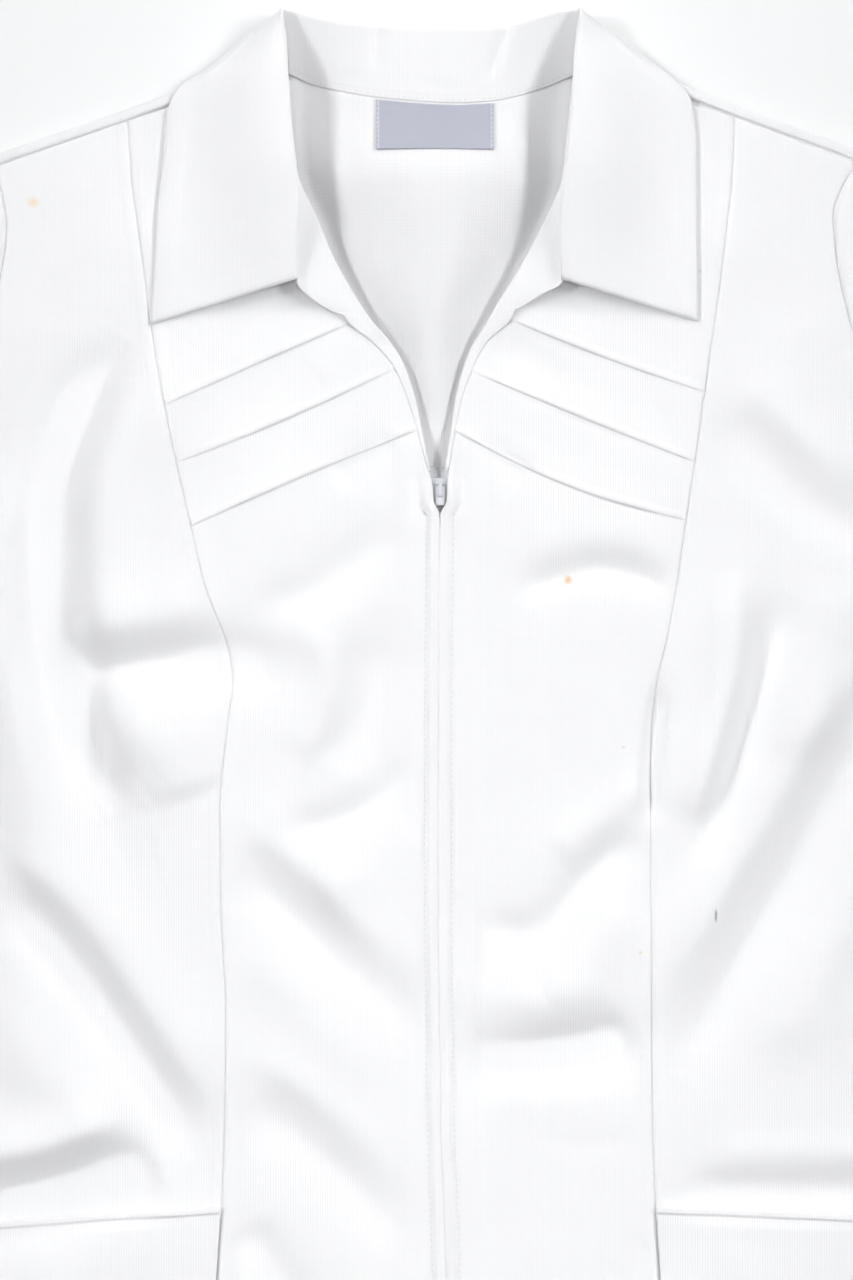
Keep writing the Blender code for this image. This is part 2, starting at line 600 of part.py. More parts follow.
def side_front(side):
    """One side front panel, and the patch of a pocket that lies on its lower part."""
    rows, x, y = side_front_grid(side)
    low = front_bottom(x, y)
    name = "side_front_left" if side == LEFT else "side_front_right"
    wall(name, stack(x, y, low + CLOTH), stack(x, y, low))
    first = next(k for k, row in enumerate(rows) if row[0] <= POCKET_Y + 0.5)
    px, py = x[first:], y[first:]
    floor = low[first:] + CLOTH + LAYER_GAP
    bulge = np.maximum(fold_height(POCKET_FOLDS, px, py), 0)
    bulge = bulge * ease((px - px[:, :1]) * side / POCKET_TIGHT) * ease((px[:, -1:] - px) * side / POCKET_TIGHT)
    floor = floor + bulge
    thick = np.full(px.shape, CLOTH)
    ys = py[:1] - np.array([0, POCKET_HEM])[:, None]
    xs = np.repeat(px[:1], 2, axis=0)
    px = np.concatenate([xs, px[1:]])
    py = np.concatenate([ys, py[1:]])
    floor = np.concatenate([floor[:1], floor[:1] + 0.02, floor[1:]])
    hem = thick[:1] + POCKET_HEM_THICK
    thick = np.concatenate([hem, hem, thick[1:]])
    name = "pocket_left" if side == LEFT else "pocket_right"
    return wall(name, stack(px, py, floor + thick), stack(px, py, floor))


def back_top_y(x):
    """Upper outline of the back: shoulders at both sides of the neck seam."""
    neck = across(NECK_SEAM, x) - SEAM_GAP
    inside = (x > -75.0) & (x < 70.5)
    outline = np.where(inside, neck, shoulder_y(x))
    return np.where((x < -212) | (x > 203), SHOULDER_TIP_Y, outline)


def back():
    """The back in one piece, rolled over the shoulders to the seams on the front."""
    top_x = np.array(BACK_COLUMN_XS)[None, :]
    levels = np.array(BACK_LEVELS)[:, None]
    left = through(SIDE_EDGE[LEFT], levels)
    right = through(SIDE_EDGE[RIGHT], levels)
    u = (top_x - top_x[:, :1]) / (top_x[:, -1:] - top_x[:, :1])
    x = left + (right - left) * u
    x[:, 1:-1] += ((top_x - x) * ease((levels - 240) / 66))[:, 1:-1]
    lean = ease((levels - 60) / 246) ** 2
    hem = HEM_CURVE * (x / HALF_HEM) ** 2 * (1 - ease((levels - HEM_Y) / 200))
    y = levels + lean * (back_top_y(top_x) - SHOULDER_TIP_Y) + hem
    low = back_bottom(x, y)
    high = low + CLOTH
    over_shoulder = (top_x < -78) | (top_x > 74)
    rolled = FRONT_BASE + (FRONT_LIFT - BACK_LIFT) * near_collar(x)
    part_of_roll = np.interp(levels, [ROLL_FOOT, ROLL_WALL, ROLL_CROWN, SHOULDER_TIP_Y], [0, 1, 0.95, 0.4])
    high = high + np.where(over_shoulder, rolled * part_of_roll, 0)
    return wall("back", stack(x, y, high), stack(x, y, low))


def sleeve(side):
    """A short sleeve as a flattened tube, open at the armhole and at the cuff."""
    edge = [Station(row.y, row.x + side * ARMHOLE_GAP) for row in SIDE_EDGE[side]]
    inner_r = LAYER_GAP / 2
    outer_r = inner_r + CLOTH
    rings = []
    for ring in (outer_r, inner_r):
        loop = []
        nose = [(1 - np.cos(a), np.sin(a)) for a in np.radians([0, 45, 90])]
        start = [(outer_r - ring + ring * along, outer_r + ring * up) for along, up in nose]
        for along, up in start:
            loop.append((0, along, up, 0.0))
        for t in SLEEVE_ACROSS:
            loop.append((t, 0, outer_r + ring, 1.0))
        for along, up in reversed(start):
            loop.append((1, -along, up, 0.0))
        for along, up in start[1:]:
            loop.append((1, -along, 2 * outer_r - up, 0.0))
        for t in reversed(SLEEVE_ACROSS):
            loop.append((t, 0, outer_r - ring, 0.0))
        for along, up in reversed(start[1:]):
            loop.append((0, along, 2 * outer_r - up, 0.0))
        rings.append(loop)
    count = len(rings[0])
    cuff = np.array([side * (CUFF_UNDER[0] - CUFF_TOP[0]), CUFF_UNDER[1] - CUFF_TOP[1]])
    cuff_way = cuff / np.linalg.norm(cuff)
    points = []
    for s in np.linspace(0, 1, SLEEVE_ROWS + 1):
        for loop in rings:
            for t, shift, z, free in loop:
                seam_y = SHOULDER_TIP_Y - 0.6 + (UNDERARM_Y - SHOULDER_TIP_Y + 1.2) * t - shift
                seam_x = float(through(edge, seam_y))
                end_x = side * CUFF_TOP[0] + cuff[0] * t + shift * cuff_way[0]
                end_y = CUFF_TOP[1] + cuff[1] * t + shift * cuff_way[1]
                puff = free * SLEEVE_PUFF * np.sin(np.pi * t) * np.sin(np.pi * (0.1 + 0.85 * s))
                points.append((seam_x + (end_x - seam_x) * s, seam_y + (end_y - seam_y) * s, z + puff))
    faces = []

    def at(row, ring, k):
        """Number of a point in one of the tube's rings."""
        return (row * 2 + ring) * count + k % count

    for row in range(SLEEVE_ROWS):
        for k in range(count):
            for ring in (0, 1):
                faces.append((at(row, ring, k), at(row, ring, k + 1),
                              at(row + 1, ring, k + 1), at(row + 1, ring, k)))
    for row in (0, SLEEVE_ROWS):
        for k in range(count):
            faces.append((at(row, 0, k), at(row, 0, k + 1), at(row, 1, k + 1), at(row, 1, k)))
    return solid("sleeve_left" if side == LEFT else "sleeve_right", points, faces)


def smooth_rows(rows, count):
    """A table's columns read at evenly spaced places between its first and last row."""
    table = np.array(rows, dtype=float)
    knots = np.arange(len(rows), dtype=float)
    at = np.linspace(0, len(rows) - 1, count)
    return np.stack([bend(knots, table[:, c], at) for c in range(table.shape[1])], axis=1)


def collar_leaf(side):
    """A turned-down collar leaf: low at its outer edge, standing at the roll line."""
    rows = smooth_rows(LEAF_ROWS[side], 16)
    u = np.array(LEAF_COLUMNS)[None, :]
    roll_x, roll_y, edge_x, edge_y, rise, drop = [rows[:, k:k + 1] for k in range(6)]
    x = roll_x + (edge_x - roll_x) * u
    y = roll_y + (edge_y - roll_y) * u
    held_y = np.minimum(y, shoulder_y(x) - 10)
    stand = rise * (1 - ease(u * 0.95)) ** 1.1
    low = front_top(x, held_y) + LEAF_GAP + stand
    low = low - drop * ease((u - LEAF_DROP_START) / (1 - LEAF_DROP_START))
    low = low - LEAF_ROLL_DIP * ease((LEAF_ROLL_SHARE - u) / LEAF_ROLL_SHARE)
    low = np.maximum(low, FALL_THICK + 0.5)
    thick = COLLAR_THICK - LEAF_EDGE_THIN * ease((u - 0.9) / 0.1)
    name = "collar_leaf_left" if side == LEFT else "collar_leaf_right"
    return wall(name, stack(x, y, low + thick), stack(x, y, low))


def collar_band():
    """The collar's standing band behind the neck, seen from its inner face."""
    columns = 22
    rows = 5
    s = np.linspace(0, 1, columns)[None, :]
    t = np.linspace(0, 1, rows)[:, None]
    low_x = -68.6 + (63.4 + 68.6) * s
    high_x = -71.6 + (66.0 + 71.6) * s
    low_y = across(NECK_SEAM, low_x) + SEAM_GAP / 2
    high_y = across(BAND_TOP, high_x) - 0.5
    x = low_x + (high_x - low_x) * t
    y = low_y + (high_y - low_y) * t
    ends = np.abs(2 * s - 1) ** 3
    low = BACK_LIFT + BAND_FOOT + (BAND_STAND + BAND_END_STAND * ends) * t ** 1.2 + BAND_END_FOOT * ends
    low = low + fold_height(BAND_CREASES, x, y) * ease(t * 2)
    floor = BACK_LIFT + 0.5 + FALL_STAND * t
    low = np.maximum(low, floor)
    return wall("collar_band", stack(x, y, low + COLLAR_THICK), stack(x, y, low))


def collar_fall():
    """The collar's fall behind the neck, turned down under the back."""
    columns = 24
    x = np.linspace(-117, 111, columns)[None, :]
    leaf_line_left = bend(np.array([-118.0, -108.0, -92.0, -73.0]), np.array([345.5, 353.0, 367.0, 379.5]), x)
    leaf_line_right = bend(np.array([68.0, 83.0, 98.0, 112.0]), np.array([379.5, 370.0, 359.0, 346.0]), x)
    middle = across(BAND_TOP, x) - 1.2
    upper = np.where(x < -73, leaf_line_left, np.where(x > 68, leaf_line_right, middle))
    lower = across(FALL_EDGE, x)
    t = np.array([0, 0.3, 0.6, 0.76, 0.88, 1])[:, None]
    y = lower + (upper - lower) * t
    x = np.broadcast_to(x, y.shape)
    curl = ease((76 - np.abs(x + 3)) / 10)
    low = FALL_STAND * curl * ease((t - FALL_CURL_START) / (1 - FALL_CURL_START)) ** 1.4
    return wall("collar_fall", stack(x, y, low + FALL_THICK), stack(x, y, low))


def neck_facing(side):
    """The facing turned out at the V: wide under the collar leaf, then a narrow roll."""
    rows = [(row.inner_y, row.outer_x, row.outer_y, row.outer_rise) for row in FACING_ROWS[side]]
    edge = [Station(row.y, row.x - side * STRIP_GAP) for row in FRONT_EDGE[side]]
    for y in FACING_STRIP_YS:
        rows.append((y, float(through(edge, y)), y, 0.0))
    table = np.array(rows)
    u = np.array(FACING_COLUMNS)[None, :]
    inner_y, outer_x, outer_y, rise = [table[:, k:k + 1] for k in range(4)]
    inner_x = through(V_EDGE[side], inner_y)
    x = inner_x + (outer_x - inner_x) * u
    y = inner_y + (outer_y - inner_y) * u
    wide = ease((inner_y - 222) / 6)
    low = front_top(x, y) * wide + (front_bottom(x, y) + 0.3) * (1 - wide)
    low = low + FACING_LIFT * wide + rise * u ** 1.2
    name = "neck_facing_left" if side == LEFT else "neck_facing_right"
    return wall(name, stack(x, y, low + CLOTH), stack(x, y, low))


def zip_tape(side):
    """Half of the zip's tape, under the front's lip."""
    ys = np.linspace(HEM_Y + 6, ZIP_TOP_Y + 14, 16)[:, None]
    centre = (through(FRONT_EDGE[LEFT], ys) + through(FRONT_EDGE[RIGHT], ys)) / 2
    reach = np.array([0.4, TAPE_WIDTH])[None, :]
    x = centre + side * reach
    y = np.broadcast_to(ys, x.shape)
    low = np.full(x.shape, FRONT_BASE)
    name = "zip_tape_left" if side == LEFT else "zip_tape_right"
    return wall(name, stack(x, y, low + TAPE_THICK), stack(x, y, low), "tape")


def block(name, low, high, finish):
    """A plain box between two corners in millimetres."""
    body = bmesh.new()
    middle = [(a + b) / 2 * MM for a, b in zip(low, high)]
    size = [(b - a) * MM for a, b in zip(low, high)]
    place = Matrix.Translation(middle) @ Matrix.Diagonal((*size, 1))
    bmesh.ops.create_cube(body, size=1, matrix=place)
    mesh = bpy.data.meshes.new(name)
    body.to_mesh(mesh)
    body.free()
    return add_object(name, mesh, finish)


def rod_x(name, centre, radius, length, finish):
    """A round rod along X."""
    body = bmesh.new()
    place = Matrix.Translation([value * MM for value in centre]) @ Matrix.Rotation(np.pi / 2, 4, "Y")
    bmesh.ops.create_cone(body, cap_ends=True, segments=12, radius1=radius * MM, radius2=radius * MM,
                          depth=length * MM, matrix=place)
    mesh = bpy.data.meshes.new(name)
    body.to_mesh(mesh)
    body.free()
    return add_object(name, mesh, finish)


def combine(piece, other, operation):
    """Join or cut a piece with another solid, which is then left out of the model."""
    modifier = piece.modifiers.new(other.name, "BOOLEAN")
    modifier.operation = operation
    modifier.solver = "EXACT"
    modifier.object = other
    other.hide_render = True
    other.display_type = "WIRE"


def zip_slider():
    """The slider's body with the bridge and the pin that carry its pull tab."""
    top_y = PULL_AXIS_Y + 3.0
    outline = [(-SLIDER_HALF, top_y - 0.8), (-SLIDER_HALF + 0.8, top_y), (SLIDER_HALF - 0.8, top_y),
               (SLIDER_HALF, top_y - 0.8), (SLIDER_HALF - 0.4, top_y - 6), (1.6, top_y - SLIDER_LENGTH),
               (-1.6, top_y - SLIDER_LENGTH), (-SLIDER_HALF + 0.4, top_y - 6)]
    low = FRONT_BASE + TAPE_THICK + SLIDER_LIFT
    high = low + SLIDER_THICK
    points = [(SLIDER_X + x, y, z) for z in (low, high) for x, y in outline]
    count = len(outline)
    faces = [tuple(range(count)), tuple(range(count, 2 * count))]
    faces += [(k, (k + 1) % count, count + (k + 1) % count, count + k) for k in range(count)]
    slider = solid("zip_slider", points, faces, "zip_metal")
    bridge = block("bridge", (SLIDER_X - BRIDGE_HALF, PULL_AXIS_Y - 5.6, high - 0.4),
                   (SLIDER_X + BRIDGE_HALF, PULL_AXIS_Y + 1.0, PULL_AXIS_Z + 0.9), "zip_metal")
    pin = rod_x("pin", (SLIDER_X, PULL_AXIS_Y, PULL_AXIS_Z), PIN_RADIUS, 2 * PULL_HALF - 0.2, "zip_metal")
    combine(slider, bridge, "UNION")
    combine(slider, pin, "UNION")
    return slider


def pull_tab():
    """The pull tab, forked round the bridge and turning on its pin."""
    tab = block("pull_tab", (SLIDER_X - PULL_HALF, PULL_AXIS_Y - PULL_LENGTH, PULL_AXIS_Z - PULL_HALF_THICK),
                (SLIDER_X + PULL_HALF, PULL_AXIS_Y, PULL_AXIS_Z + PULL_HALF_THICK), "zip_metal")
    eye = rod_x("eye", (SLIDER_X, PULL_AXIS_Y, PULL_AXIS_Z), EYE_RADIUS, 2 * PULL_HALF, "zip_metal")
    slot_half = BRIDGE_HALF + SEAM_GAP
    slot = block("slot", (SLIDER_X - slot_half, PULL_AXIS_Y - 6.2, PULL_AXIS_Z - 3),
                 (SLIDER_X + slot_half, PULL_AXIS_Y + 3, PULL_AXIS_Z + 3), "zip_metal")
    hole = rod_x("hole", (SLIDER_X, PULL_AXIS_Y, PULL_AXIS_Z), HOLE_RADIUS, 3 * PULL_HALF, "zip_metal")
    combine(tab, eye, "UNION")
    combine(tab, slot, "DIFFERENCE")
    combine(tab, hole, "DIFFERENCE")
    return tab


def neck_label():
    """The sewn-in label under the back neck seam."""
    xs = np.linspace(LABEL_LEFT_X, LABEL_RIGHT_X, 9)[None, :]
    t = np.linspace(0, 1, 4)[:, None]
    upper = across(NECK_SEAM, xs) - LABEL_GAP
    y = LABEL_FOOT_Y + (upper - LABEL_FOOT_Y) * t
    x = np.broadcast_to(xs, y.shape)
    low = back_bottom(x, y) + CLOTH + LABEL_GAP
    return wall("neck_label", stack(x, y, low + LABEL_THICK), stack(x, y, low), "label")


def build():
    """Make every piece of the garment."""
    for piece in list(bpy.data.objects):
        bpy.data.objects.remove(piece, do_unlink=True)
    back()
    for side in (LEFT, RIGHT):
        centre_front(side)
        side_front(side)
        sleeve(side)
        collar_leaf(side)
        neck_facing(side)
        zip_tape(side)
    collar_band()
    collar_fall()
    neck_label()
    zip_slider()
    pull_tab()


build()
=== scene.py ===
"""Looks of a women's zip-front uniform top with a wing collar, laid flat on its back.

X runs across the garment, +Y from hem to neck and +Z up from the table. The tables of the
cut are in millimetres, and every mesh is made in metres. The left side is the one at -X.
"""
import logging
from collections.abc import Callable, Sequence
from dataclasses import dataclass
from enum import Enum, IntEnum
from typing import NamedTuple

import bpy
import bmesh
import numpy as np
from mathutils import Euler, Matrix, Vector


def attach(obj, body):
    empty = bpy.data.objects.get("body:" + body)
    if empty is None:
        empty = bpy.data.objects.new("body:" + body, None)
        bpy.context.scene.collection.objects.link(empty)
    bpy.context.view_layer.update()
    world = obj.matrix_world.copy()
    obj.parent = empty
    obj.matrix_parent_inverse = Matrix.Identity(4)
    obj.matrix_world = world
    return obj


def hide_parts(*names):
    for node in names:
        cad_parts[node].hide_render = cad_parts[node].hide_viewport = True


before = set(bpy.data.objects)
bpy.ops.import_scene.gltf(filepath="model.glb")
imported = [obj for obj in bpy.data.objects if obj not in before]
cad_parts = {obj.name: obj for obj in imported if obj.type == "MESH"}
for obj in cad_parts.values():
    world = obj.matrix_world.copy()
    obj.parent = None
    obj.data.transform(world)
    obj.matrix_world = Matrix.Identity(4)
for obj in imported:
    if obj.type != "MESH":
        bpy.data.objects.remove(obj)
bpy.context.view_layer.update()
LOG = logging.getLogger("uniform_top")
MM = 0.001
FULL_TURN = 6.28318
ROUTE_POINTS = 90
Grid = np.ndarray


class Side(IntEnum):
    """The two sides of the garment, as the sign of their X."""
    LEFT = -1
    RIGHT = 1

    @property
    def label(self) -> str:
        """The side as it stands in the pieces' names."""
        return self.name.lower()


class Slot(Enum):
    """The record's material slots, by name."""
    KNIT = "white_knit"
    TAPE = "zip_tape"
    LABEL = "label_satin"


class Station(NamedTuple):
    """One place on an edge that runs up the garment."""
    y: float
    x: float


class Crossing(NamedTuple):
    """One place on an edge that runs across the garment."""
    x: float
    y: float


class Guide(NamedTuple):
    """One row of a front panel, from its inner edge to its outer edge."""
    inner_y: float
    outer_y: float
    bow: float
    tuck: bool = False


class CollarRow(NamedTuple):
    """One row of a collar leaf, from the roll line out to its edge."""
    roll_x: float
    roll_y: float
    edge_x: float
    edge_y: float
    roll_rise: float
    edge_drop: float


class FacingRow(NamedTuple):
    """One row of the neck facing, from the V edge out under the collar leaf."""
    inner_y: float
    outer_x: float
    outer_y: float
    outer_rise: float


class Fold(NamedTuple):
    """A soft ridge (rise above 0) or trough (below 0) and the points it runs through.

    peak is 2 for a round fold and nearer 1 for a sharp one. lean makes the side on the
    route's left hand wider and the other one steeper.
    """
    rise: float
    width: float
    route: tuple
    peak: float = 2.0
    lean: float = 0.0


class Mark(NamedTuple):
    """A small stain or speck on the cloth: its place, half sizes and strength."""
    x: float
    y: float
    half_x: float
    half_y: float
    colour: tuple
    strength: float


def table(kind: type, *rows: tuple) -> list:
    """Rows of plain values as rows with named columns."""
    return [kind(*row) for row in rows]


# Places that several pieces share, in millimetres
HEM_Y = -381.5
HEM_CURVE = 7.0
HALF_HEM = 268.0
POCKET_Y = -188.0
SHOULDER_TIP_Y = 312.0
UNDERARM_Y = 110.0
NECK_X = -3.0
V_FOOT_Y = 165.0
ZIP_TOP_Y = 146.0
ZIP_FOOT_Y = HEM_Y + 6
FACING_FOOT_Y = 162.0
# Distance of the zip's topstitching from the lip's edge
ZIP_STITCH = 6.2
# Air between a side front and its pocket, beyond the common gap
POCKET_LIFT = 0.35
# The label's two ends, its height above the back and its thickness
LABEL_ENDS = (-29.0, 27.0)
LABEL_LIFT = 0.5
LABEL_THICK = 0.45
# A cut that fills less than this share of its box is a curved strip
STRIP_SHARE = 0.35
# Least width that a curved strip is stated with
LEAST_STRIP = 10.0
# Middle of the photographed part of the top, in metres
PICTURE_CENTRE = (-0.005, 0.0814, 0.005)

# Edges of the cut pieces, from the hem up
SIDE_EDGE: dict[Side, list[Station]] = {
    Side.LEFT: table(Station, (-381, -268), (-300, -263), (-200, -252), (-120, -236),
        (-55, -228), (10, -234), (70, -246), (110, -252), (135, -244.5), (165, -232), (215, -216),
        (255, -208), (278, -205.2), (294, -207.6), (312, -213)),
    Side.RIGHT: table(Station, (-381, 268), (-300, 263), (-200, 252), (-120, 236), (-55, 228),
        (10, 234), (70, 244), (110, 248), (132, 240), (160, 225), (195, 208), (229, 198.1),
        (248, 193.3), (267, 190), (284, 188.8), (298, 193.5), (312, 203.5)),
}
PRINCESS_SEAM: dict[Side, list[Station]] = {
    Side.LEFT: table(Station, (-381, -116), (-222, -105), (-201, -103.5), (-161, -101.5),
        (-100, -100.4), (-40, -103), (0, -103.3), (45, -99), (60, -97.2), (73, -98.6), (108, -110.5),
        (136, -117.1), (168, -124.3), (191, -129), (231, -136.2), (262, -140), (298, -145.3),
        (328, -147.6), (336, -148.6)),
    Side.RIGHT: table(Station, (-381, 117), (-222, 106.2), (-201, 104.8), (-148, 102.4),
        (-60, 101.9), (14, 101.5), (38, 101.9), (56, 103.8), (94, 111.9), (136, 118.1), (181, 124.8),
        (222, 130.5), (260, 135.7), (302, 140.5), (330, 142), (338, 141.5)),
}
# The front's own edge at the neck and down the zip
FRONT_EDGE: dict[Side, list[Station]] = {
    Side.LEFT: table(Station, (-381, 4.3), (-222, 4.0), (-201, 3.5), (-147, 1.6),
        (-22, 0.25), (29, 0.25), (120, 1.0), (136, 1.05), (142.6, 1.0), (144.2, 0.1), (145.6, -1.4),
        (151, -1.8), (157, -2.5), (165, -5.0), (181, -9.5), (197, -14.2), (211, -20.6), (219, -26.7),
        (226, -34.3), (233, -42.9), (245, -47), (263, -54.5), (282, -62.5), (300, -70), (320, -73.5),
        (354, -76.5)),
    Side.RIGHT: table(Station, (-381, 4.8), (-222, 4.5), (-201, 4.0), (-147, 2.1),
        (-22, 0.75), (29, 0.75), (120, 1.5), (136, 1.65), (142.6, 1.75), (144.2, 2.9), (145.6, 4.3),
        (151, 4.7), (157, 5.0), (165, 6.1), (181, 8.7), (196, 11.6), (210, 16.6), (224, 24.3),
        (234, 35.5), (245, 39.5), (256, 44.5), (270, 52), (286, 60), (300, 65), (320, 68), (354, 71.5)),
}
# The facing's edge, seen inside the front's edge
V_EDGE: dict[Side, list[Station]] = {
    Side.LEFT: table(Station, (158, -1.6), (164, -3.4), (181, -7.1), (193, -9.6),
        (207, -13.6), (218, -18.6), (227, -25.4), (235, -32.4), (245, -38.8), (263, -49), (282, -57),
        (295, -63.3), (305, -67.1), (320, -69), (350, -70)),
    Side.RIGHT: table(Station, (158, 3.7), (164, 4.0), (170, 4.9), (182, 6.7), (198, 9.2),
        (210, 12.2), (222, 17.2), (232, 23.6), (244, 30.4), (256, 38.1), (270, 45.7), (286, 53.8),
        (299, 59), (315, 60.8), (350, 64.5)),
}
# Edges that run across the garment, from left to right
NECK_SEAM = table(Crossing, (-76, 352), (-69.5, 350.3), (-60.5, 346.2), (-51.4, 343.6),
    (-39.5, 341), (-28, 339), (-3.3, 336.7), (7.6, 336.3), (24.8, 337.2), (38, 340), (51, 344.3),
    (64.3, 349.8), (72, 352))
BAND_TOP = table(Crossing, (-72.4, 381), (-58.1, 377.6), (-41, 374.8), (-25.2, 373.3),
    (-3.3, 372.4), (18, 372), (33.8, 373), (44.3, 376.2), (55.2, 379.6), (66.8, 381))
FALL_EDGE = table(Crossing, (-118, 343), (-108, 331), (-90, 320), (-50, 312), (-4, 309),
    (42, 312), (84, 320), (102, 331), (112, 343))
FALL_LEFT_END = table(Crossing, (-118, 345.5), (-108, 353), (-92, 367), (-73, 379.5))
FALL_RIGHT_END = table(Crossing, (68, 379.5), (83, 370), (98, 359), (112, 346))
# Rows of the panels, from the shoulder down
CENTRE_ROWS = {
    Side.LEFT: table(Guide, (350.5, 328.9, 0), (231.9, 192.9, 0.6, True),
        (210.5, 165.7, -1.6, True), (181.4, 135.7, 1.0, True), (158, 122, 0),
        (147, 115, 0), (137, 109, 0), (110, 92, 0), (70, 66, 0),
        (30, 30, 0), (-60, -60, 0), (POCKET_Y, POCKET_Y, 0),
        (HEM_Y, HEM_Y + 1, 0)),
    Side.RIGHT: table(Guide, (350.5, 330.3, 0), (233.8, 199.5, -1.2, True),
        (209.5, 166.2, -0.6, True), (181.0, 138.6, -5.4, True), (158, 124, -2),
        (147, 116, -1), (137, 109, 0), (110, 92, 0),
        (70, 66, 0), (30, 30, 0), (-60, -60, 0),
        (POCKET_Y, POCKET_Y, 0), (HEM_Y, HEM_Y + 1, 0)),
}
SIDE_ROWS = {
    Side.LEFT: table(Guide, (328.9, 306.6, 0), (215, 205, 0),
        (110, 110, 0), (-60, -60, 0), (POCKET_Y, -199, 0),
        (HEM_Y + 1, HEM_Y + HEM_CURVE, 0)),
    Side.RIGHT: table(Guide, (330.3, 306.4, 1.2), (215, 205, 0),
        (110, 110, 0), (-60, -60, 0), (POCKET_Y, -194, 0),
        (HEM_Y + 1, HEM_Y + HEM_CURVE, 0)),
}
# The largest folds of the front: dark troughs and the ridges beside them
FRONT_FOLDS = table(
    Fold,
    (4.4, 22, ((-118, 222), (-142, 190), (-156, 150), (-157, 100), (-150, 52), (-138, 0)), 2.0, 0.3),
    (-5.0, 15, ((-150, 226), (-176, 188), (-189, 145), (-187, 95), (-175, 44), (-158, -4)), 2.0, 0.2),
    (2.0, 14, ((-206, 170), (-206, 100), (-196, 30), (-184, -20)), 2.0, -0.3),
    (2.2, 14, ((-168, 90), (-138, 92), (-108, 96)), 2.0, 0.2),
    (-3.7, 15, ((-178, 66), (-146, 67), (-118, 72), (-94, 71), (-70, 64))),
    (1.8, 16, ((-150, 40), (-130, 30), (-118, 5))),
    (-3.4, 15, ((-215, -34), (-184, -64), (-143, -120), (-112, -166))),
    (2.4, 14, ((-204, -14), (-172, -44), (-132, -100), (-106, -140)), 2.0, 0.35),
    (1.6, 14, ((-220, -86), (-188, -124), (-152, -156))),
    (-5.6, 15, ((-230, -197), (-189, -190), (-160, -181), (-132, -168))),
    (3.2, 10, ((-226, -166), (-186, -158), (-150, -146)), 2.0, 0.2),
    (-1.8, 10, ((-18, 134), (-44, 116), (-66, 101), (-86, 98))),
    (1.0, 12, ((-15, 112), (-40, 92), (-70, 80))),
    (-1.8, 13, ((-26, 82), (-31, 52), (-44, 18))),
    (1.4, 10, ((-50, 86), (-52, 54), (-64, 24)), 2.0, -0.3),
    (-2.0, 10, ((-10, 25), (-43, -3), (-74, -11))),
    (1.4, 12, ((-8, -8), (-36, -30), (-60, -36))),
    (-2.4, 13, ((-95, -26), (-60, -58), (-25, -88), (-6, -108))),
    (2.0, 13, ((-92, 0), (-58, -30), (-24, -64), (-8, -86)), 2.0, 0.3),
    (1.4, 13, ((-88, -66), (-55, -102), (-20, -128))),
    (-1.8, 14, ((-92, -138), (-60, -162), (-14, -205))),
    (1.4, 13, ((-90, -112), (-50, -140), (-12, -176)), 2.0, 0.3),
    (-2.0, 10, ((-92, -196), (-78, -216), (-60, -240))),
    (-1.7, 9, ((36, 103), (59, 112), (78, 116), (97, 112), (113, 103))),
    (0.8, 12, ((40, 128), (75, 134), (106, 126))),
    (-2.3, 12, ((96, -10), (72, -28), (57, -50), (42, -60), (16, -54))),
    (1.6, 12, ((100, 14), (78, -4), (58, -24)), 2.0, 0.2),
    (1.6, 12, ((92, -44), (74, -68), (50, -86))),
    (-4.2, 14, ((8, -121), (34, -120), (66, -117), (98, -108))),
    (1.6, 11, ((12, -90), (50, -90), (86, -80))),
    (0.6, 12, ((14, -136), (50, -133), (84, -127))),
    (-2.2, 13, ((138, 190), (157, 164), (185, 142), (215, 132))),
    (1.4, 12, ((148, 206), (172, 180), (205, 160)), 2.0, 0.2),
    (-2.8, 9, ((168, 104), (157, 70), (146, 32), (136, 4), (125, -26))),
    (3.0, 11, ((142, 114), (142, 72), (133, 30), (122, -6)), 2.0, -0.35),
    (1.8, 14, ((186, 112), (180, 70), (168, 24))),
    (-2.6, 15, ((212, 56), (186, -4), (152, -62), (112, -126))),
    (2.4, 14, ((196, 74), (166, 18), (134, -38), (108, -84)), 2.0, -0.3),
    (1.8, 14, ((222, -8), (196, -60), (156, -118))),
    (-3.2, 4.5, ((106, 60), (102.3, 26), (101, -8))),
    (-2.2, 9, ((118, -180), (160, -181), (225, -180))),
    (1.0, 9, ((130, -162), (170, -162), (215, -160))),
    (-1.8, 16, ((-172, 300), (-185, 265), (-190, 230))),
    (-1.8, 16, ((160, 298), (166, 260), (178, 232))),
    (-2.2, 9, ((30, 224), (46, 214), (60, 204))),
    (1.3, 9, ((-30, 228), (-44, 217), (-58, 206))),
    (-1.6, 8, ((-20, 178), (-34, 168), (-48, 156))),
    (-1.6, 8, ((22, 176), (34, 164), (44, 158))),
)
# The front's rise over the slider and the pinches beside it
PUCKERS = table(
    Fold,
    (1.5, 5.5, ((-6, 158), (-5, 148), (-3, 140))),
    (1.5, 5.5, ((9, 158), (8, 148), (6, 140))),
    (-1.7, 3.4, ((-9.6, 160), (-8.8, 150), (-8.2, 139))),
    (-1.7, 3.4, ((12.0, 160), (11.2, 150), (10.4, 139))),
)
# Folds that run down under the pockets' mouths
POCKET_FOLDS = table(
    Fold,
    (1.6, 14, ((-185, -205), (-180, -250), (-176, -300))),
    (1.6, 14, ((150, -205), (152, -250), (158, -300))),
)
# Creases of the collar's band and the swells beside them
BAND_CREASES = table(
    Fold,
    (-1.1, 3.0, ((-29, 378), (-28, 366), (-30, 352))),
    (-1.1, 3.2, ((36, 379), (31, 362), (24, 346))),
    (0.7, 8, ((-50, 378), (-48, 362), (-46, 348))),
    (1.0, 8, ((4, 376), (2, 360), (2, 344))),
)
